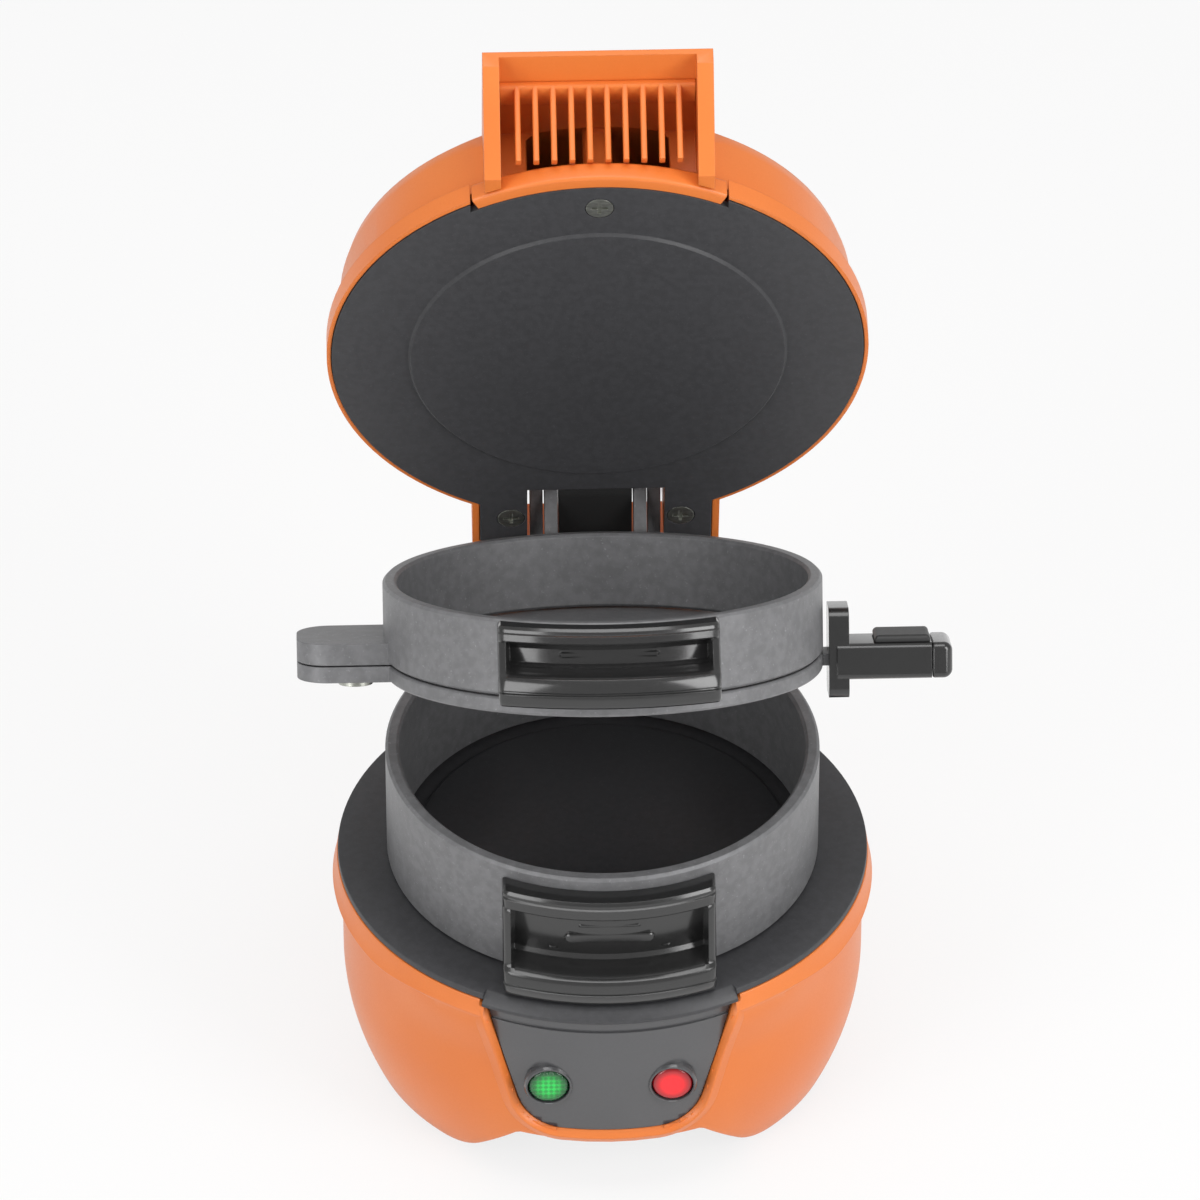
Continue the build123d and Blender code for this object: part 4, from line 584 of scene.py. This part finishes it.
shell = Form().lathe(base_outline, [360.0 * step / 300 for step in range(300)], whole=True)
shell.without(under_frame)
tower = Form()
upright = [(-TOWER_HALF, 64, 1), (TOWER_HALF, 64, 1), (TOWER_HALF, 80, 5), (-TOWER_HALF, 80, 5)]
tower.slab(rounded(upright, 6), TOWER_BOTTOM, TOWER_TOP, "z")
shoulder = [(-TOWER_HALF, 46.0), (TOWER_HALF, 46.0), (TOWER_HALF, 65.0), (-TOWER_HALF, 65.0)]
tower.slab(shoulder, TOWER_BOTTOM, LEDGE_TOP, "z")
post_slot = [(-9.4, 62.0), (9.4, 62.0), (9.4, 71.6), (-9.4, 71.6)]
tower_cuts = [Form().slab(post_slot, 98.0, 110.0, "z")]
for height in (62.0, 88.0):
    tower_cuts.append(Form().slab(disc(0.0, height, SCREW_HOLE_RADIUS, 12), 77.4, 82.0, "y"))
tower_cuts.append(Form().slab(disc(0.0, BORE_Z, BORE_RADIUS, 12), 66.5, 84.0, "y"))
foot_posts = Form()
for x in (-FOOT_X, FOOT_X):
    for y in (-FOOT_Y, FOOT_Y):
        foot_posts.slab(disc(x, y, FOOT_RADIUS, 15), FOOT_Z, ARCH_TOP, "z")
piece("base_shell", shell, "base", "orange_plastic", ["base_housing"])
piece("panel_frame", frame_form(), "base", "orange_plastic")
piece("hinge_tower", tower, "base", "orange_plastic", (), tower_cuts, 0.9)
piece("foot_posts", foot_posts, "base", "orange_plastic")


def panel_form():
    """Curved control panel, two millimetres thick."""
    heights = [PANEL_BOTTOM + v for v in (0.0, 0.15, 0.5, 1.1, 2.0, 3.2, 4.6, 6.2, 8.1)]
    heights += [30.5, 33.0, 36.0, 39.0, 42.0, 44.2, 44.6, 47.0, 50.0, 53.1, 53.3, 55.0]
    heights.append(PANEL_TOP)
    loops = []
    for z in heights:
        half = panel_half(z)
        radius = panel_radius(z)
        across = [half * math.sin(math.radians(90.0 * step / 12)) for step in range(-12, 13)]
        face = [(x, -math.sqrt(radius ** 2 - x * x), z) for x in across]
        rear = [(x, -math.sqrt((radius - 2.0) ** 2 - x * x), z) for x in reversed(across)]
        loops.append(face + rear)
    return Form().loft(loops)


def about_lens(form, side, outline):
    """Lathe an outline of (radius, y) about a lamp's axis."""
    loops = []
    for step in range(48):
        turn = 2 * math.pi * step / 48
        c, s = math.cos(turn), math.sin(turn)
        loops.append([(side * LAMP_X + r * c, y, LAMP_Z + r * s) for r, y in outline])
    return form.loft(loops, around=True)


plug = [(0.0, -70.0), (5.2, -70.0), (5.2, -50.0), (0.0, -50.0)]
lens_holes = [about_lens(Form(), side, plug) for side in (-1, 1)]
piece("lamp_panel", panel_form(), "base", "panel_gloss", ["control_panel"], lens_holes)
bezel = [(5.2, -62.0), (5.2, -64.1), (5.35, -64.35), (5.7, -64.35), (6.1, -63.6), (6.1, -62.0)]
bezels = Form()
for side in (-1, 1):
    about_lens(bezels, side, bezel)
piece("lamp_bezels", bezels, "base", "panel_gloss")


# ---------------------------------------------------------------- cooking deck
DECK_RADIUS = 66.3
APRON_HALF = 31.0


def deck_outline(angle):
    """Deck with its raised pad; a sloping apron stands out over the panel."""
    c, s = math.cos(math.radians(angle)), math.sin(math.radians(angle))
    rim = min(DECK_RADIUS, 63.4 / s) if s > 0.95 else DECK_RADIUS
    edge = [
        (rim - 0.5, 61.0), (rim - 0.12, 60.86), (rim, 60.5), (rim, 59.3), (rim - 0.3, 59.05),
        (rim - 6.7, 59.05),
    ]
    if abs(c * 66.0) < APRON_HALF and s < 0:
        edge = [
            (64.2, 61.0), (64.7, 60.8), (66.9, 58.9), (67.15, 58.5), (67.15, 57.6), (59.6, 57.5),
        ]
    inner = [
        (58.0, 55.0), (0.0, 55.0), (0.0, 61.8), (46.0, 61.8), (46.4, 61.62), (46.9, 61.05),
        (47.4, 61.0),
    ]
    return inner + [(55.0, 61.0), (60.0, 61.0)] + edge


APRON_TURN = math.degrees(math.asin(APRON_HALF / 66.0))
deck_angles = [step * 2.0 for step in range(180)]
deck_angles += [
    270 + side * APRON_TURN + nudge for side in (-1, 1) for nudge in (-0.02, 0.02)
]
deck = Form().lathe(deck_outline, sorted(deck_angles), whole=True)
piece("cooking_deck", deck, "base", "dark_coated_plate", ["base_cooking_plate"])


# ---------------------------------------------------------------- grille by Geometry Nodes
RIB_PITCH = 4.33
RIBS = 10


class Plant:
    """A Geometry Nodes tree with named sizes in millimetres, grown once into a plain mesh."""

    def __init__(self, name, **sizes):
        self.tree = bpy.data.node_groups.new(name, "GeometryNodeTree")
        new_socket = self.tree.interface.new_socket
        new_socket("Geometry", in_out="OUTPUT", socket_type="NodeSocketGeometry")
        self.sizes = sizes
        self.identifiers = {}
        for key in sizes:
            socket = new_socket(key, in_out="INPUT", socket_type="NodeSocketFloat")
            self.identifiers[key] = socket.identifier
        self.start = self.tree.nodes.new("NodeGroupInput")
        self.end = self.tree.nodes.new("NodeGroupOutput")

    def size(self, key):
        return self.start.outputs[key]

    def node(self, kind, settings=None, sockets=None, output=0):
        made = self.tree.nodes.new(kind)
        for key, value in (settings or {}).items():
            setattr(made, key, value)
        for key, value in (sockets or {}).items():
            if isinstance(value, bpy.types.NodeSocket):
                self.tree.links.new(value, made.inputs[key])
            else:
                made.inputs[key].default_value = value
        return made.outputs[output]

    def grow(self, geometry, name, body, slot, replaced=()):
        """Realize the instances, give them their material and turn them to the rest pose."""
        real = self.node("GeometryNodeRealizeInstances", {}, {0: geometry})
        smooth_faces = self.node("GeometryNodeSetShadeSmooth", {}, {0: real})
        sockets = {0: smooth_faces, "Material": finishes[slot].material}
        dressed = self.node("GeometryNodeSetMaterial", {}, sockets)
        self.tree.links.new(dressed, self.end.inputs[0])
        thing = placed(name, bpy.data.meshes.new(name))
        maker = thing.modifiers.new("grow", "NODES")
        maker.node_group = self.tree
        for key, value in self.sizes.items():
            maker[self.identifiers[key]] = float(value)
        plain(thing)
        for vertex in thing.data.vertices:
            vertex.co = spun(vertex.co, OPENED[body])
        thing.data.update()
        thing.data.set_sharp_from_angle(angle=SHARP_ANGLE)
        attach(thing, body)
        if replaced:
            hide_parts(*replaced)
        return thing


def rib_row():
    """Ten leaning ribs of the grille."""
    plant = Plant("rib row", Pitch=RIB_PITCH, Thickness=1.4, Depth=4.2, Edge=0.45)
    ends = {"Start": (0.0, -67.3, 122.0), "End": (0.0, -75.4, 138.6)}
    line = plant.node("GeometryNodeCurvePrimitiveLine", {}, ends)
    sides = {"Width": plant.size("Thickness"), "Height": plant.size("Depth")}
    section = plant.node("GeometryNodeCurvePrimitiveQuadrilateral", {}, sides)
    rounding = {"Curve": section, "Radius": plant.size("Edge"), 1: 3}
    soft = plant.node("GeometryNodeFilletCurve", {"mode": "POLY"}, rounding)
    sweep = {"Curve": line, "Profile Curve": soft, "Fill Caps": True}
    rib = plant.node("GeometryNodeCurveToMesh", {}, sweep)
    step = plant.node("ShaderNodeCombineXYZ", {}, {0: plant.size("Pitch")})
    first = (-(RIBS - 1) / 2 * RIB_PITCH, 0.0, 0.0)
    spread = {"Count": RIBS, "Start Location": first, "Offset": step}
    row = plant.node("GeometryNodeMeshLine", {}, spread)
    ribs = plant.node("GeometryNodeInstanceOnPoints", {}, {"Points": row, "Instance": rib})
    return plant.grow(ribs, "grille_ribs", "lid", "orange_plastic", ["hood_grille"])


rib_row()
grille = Form()
rail = [(-71.0, 137.2, 0.4), (-77.4, 137.2, 0.8), (-77.4, 139.2, 0.4), (-71.0, 139.2, 0.4)]
grille.slab(rounded(rail, 3), -23.6, 23.6)
sill_turn = math.degrees(math.asin(30.8 / 66.6))
sill = rounded([(60.6, 117.4, 0.3), (66.6, 117.4, 0.8), (66.6, 122.8, 1.2), (60.6, 122.8, 0.3)], 4)
grille.lathe(sill, [270 - sill_turn + 2 * sill_turn * step / 40 for step in range(41)])
piece("grille_frame", grille, "lid", "orange_plastic")

for node, width in (
    ("lid_housing", 0.7), ("plate_handle_body", 0.7), ("plate_handle_cap", 0.6),
    ("plate_thumb_pad", 0.4), ("hinge_post", 0.5), ("upper_ring", 0.35), ("lower_ring", 0.35),
    ("egg_plate", 0.35),
):
    softened(node, width)


# ---------------------------------------------------------------- grips of the rings
HOLLOW_RADIUS = 56.9
LIP_HEIGHT = 8.0


def grip_form(bottom, height, half, lip):
    """Moulded grip: two lips with a hollow for the fingers between walls at its ends.

    Its section is (radius, height, 1 in the hollow); a station is (place, inset, wall share)."""
    top = bottom + height
    section = [
        (54.2, bottom, 0), (64.2, bottom, 0), (65.3, bottom + 0.5, 0), (65.9, bottom + 1.5, 0),
        (66.0, bottom + 3.4, 0), (65.55, bottom + 3.7, 0), (65.55, bottom + 4.0, 0),
        (66.0, bottom + 4.3, 0), (65.9, bottom + 6.3, 0), (65.3, bottom + 7.4, 0),
        (64.2, bottom + LIP_HEIGHT, 0), (57.8, bottom + 8.7, 1), (HOLLOW_RADIUS, bottom + 9.6, 1),
        (HOLLOW_RADIUS, top - lip - 1.6, 1), (57.5, top - lip - 0.5, 1), (59.6, top - lip, 0),
        (60.0, top - lip + 0.5, 0), (60.0, top - 1.9, 0), (59.5, top - 1.6, 0),
        (59.4, top - 0.8, 0), (58.8, top - 0.1, 0), (58.2, top, 0), (54.2, top, 0),
    ]
    stations = [
        (0.0, 0.9, 1), (0.25, 0.35, 1), (0.8, 0.0, 1), (1.9, 0.0, 1), (2.3, 0.0, 0.55),
        (2.9, 0.0, 0),
    ]
    places = [(-half + x, inset, wall) for x, inset, wall in stations]
    places += [(-half + 2.9 + (2 * half - 5.8) * step / 20, 0.0, 0) for step in range(1, 20)]
    places += [(half - x, inset, wall) for x, inset, wall in reversed(stations)]
    loops = []
    for x, inset, wall in places:
        loop = []
        for radius, z, hollow in section:
            if hollow:
                share = (z - bottom - LIP_HEIGHT) / (height - LIP_HEIGHT - lip)
                radius += (64.0 - 4.2 * share - radius) * wall
            if radius > 54.5:
                radius -= inset
            z += inset if z < bottom + 0.4 else (-inset if z > top - 0.4 else 0.0)
            loop.append((x, -math.sqrt(radius * radius - x * x), z))
        loops.append(loop)
    return Form().loft(loops)


def bar_form(form, middle, half, tall, proud):
    """Raised bar with round ends on the curved floor of a grip."""
    corner = tall * 0.45
    low_z, high_z = middle - tall / 2, middle + tall / 2
    rim = rounded([
        (-half, low_z, corner), (half, low_z, corner), (half, high_z, corner),
        (-half, high_z, corner),
    ], 4)
    loops = []
    for grow, out in ((0.0, -0.5), (0.0, proud - 0.25), (-0.25, proud)):
        loop = []
        for x, z in rim:
            x += math.copysign(min(abs(grow), abs(x)), -x) if grow else 0.0
            z += math.copysign(abs(grow), middle - z) if grow else 0.0
            r = HOLLOW_RADIUS + out
            loop.append((x, -math.sqrt(r * r - x * x), z))
        loops.append(loop)
    return form.loft(loops)


lower_grip = grip_form(62.0, 27.3, 26.15, 5.0)
for middle, half, tall, proud in (
    (76.6, 11.0, 2.6, 0.9), (80.4, 7.5, 0.8, 0.35), (72.9, 15.0, 0.8, 0.35),
):
    bar_form(lower_grip, middle, half, tall, proud)
piece("lower_grip", lower_grip, "lower_ring", "black_gloss", ["lower_ring_grip"])
upper_grip = grip_form(97.3, 18.6, 26.75, 4.0)
bar_form(upper_grip, 109.0, 12.0, 1.3, 0.6)
piece("upper_grip", upper_grip, "upper_ring", "black_gloss", ["upper_ring_grip"])


# ---------------------------------------------------------------- camera
AIM = Vector((-0.6, 0.0, 137.4)) * MM
AZIMUTH = math.radians(1.8)
ELEVATION = math.radians(37.7)
DISTANCE = 2.4
level = math.cos(ELEVATION)
back = Vector((-math.sin(AZIMUTH) * level, -math.cos(AZIMUTH) * level, math.sin(ELEVATION)))
camera_data = bpy.data.cameras.new("camera")
camera_data.lens = 293.0
camera_data.sensor_width = 36.0
camera_data.clip_end = 20.0
camera = placed("camera", camera_data)
camera.location = AIM + back * DISTANCE
camera.rotation_euler = (-back).to_track_quat("-Z", "Y").to_euler()
bpy.context.scene.camera = camera


# ---------------------------------------------------------------- floor, light and backdrop
def lamp(name, place, width, height, power):
    """Soft rectangular studio lamp aimed at the object, in metres and watts."""
    data = bpy.data.lights.new(name, "AREA")
    data.shape = "RECTANGLE"
    data.size = width
    data.size_y = height
    data.energy = power
    thing = placed(name, data)
    thing.location = place
    thing.rotation_euler = (LAMP_AIM - Vector(place)).to_track_quat("-Z", "Y").to_euler()


LAMP_AIM = Vector((0, 0, 0.10))
lamp("left softbox", (-0.75, -0.75, 0.55), 0.5, 0.8, 5.0)
lamp("right softbox", (0.80, -0.65, 0.60), 0.5, 0.8, 7.0)
lamp("top softbox", (0.0, -0.10, 1.3), 0.9, 0.7, 6.0)

floor_form = bpy.data.meshes.new("floor")
floor_form.from_pydata([(-3, -3, 0), (3, -3, 0), (3, 3, 0), (-3, 3, 0)], [], [(0, 1, 2, 3)])
floor = placed("floor", floor_form)
pale = Finish("pale floor")
path = pale.node("ShaderNodeLightPath")
seen = Wire(pale, path.socket.node.outputs["Is Camera Ray"])
glossy = Wire(pale, path.socket.node.outputs["Is Glossy Ray"])
through = Wire(pale, path.socket.node.outputs["Is Transmission Ray"])
pale.set(Base_Color=grey(0.80), Roughness=0.9, Specular_IOR_Level=0.1)
white = pale.node("ShaderNodeEmission", {}, {"Color": grey(1.0), "Strength": 1.0})
share = seen.maths("MINIMUM", seen + glossy + through, 1.0) * 0.8
blend = pale.node("ShaderNodeMixShader", {}, {0: share, 2: white})
pale.tree.links.new(pale.shader.outputs[0], blend.socket.node.inputs[1])
pale.tree.links.new(blend.socket, pale.tree.nodes["Material Output"].inputs[0])
floor.data.materials.append(pale.material)

world = bpy.data.worlds.new("studio")
bpy.context.scene.world = world
world.use_nodes = True
sky = world.node_tree
sky_light = sky.nodes["Background"]
sky_path = sky.nodes.new("ShaderNodeLightPath")
sky_mix = sky.nodes.new("ShaderNodeMix")
sky_mix.inputs[2].default_value = 0.50
sky_mix.inputs[3].default_value = 1.0
sky.links.new(sky_path.outputs["Is Camera Ray"], sky_mix.inputs[0])
sky.links.new(sky_mix.outputs[0], sky_light.inputs["Strength"])
sky_light.inputs["Color"].default_value = grey(1.0)
bpy.context.scene.view_settings.view_transform = "Standard"
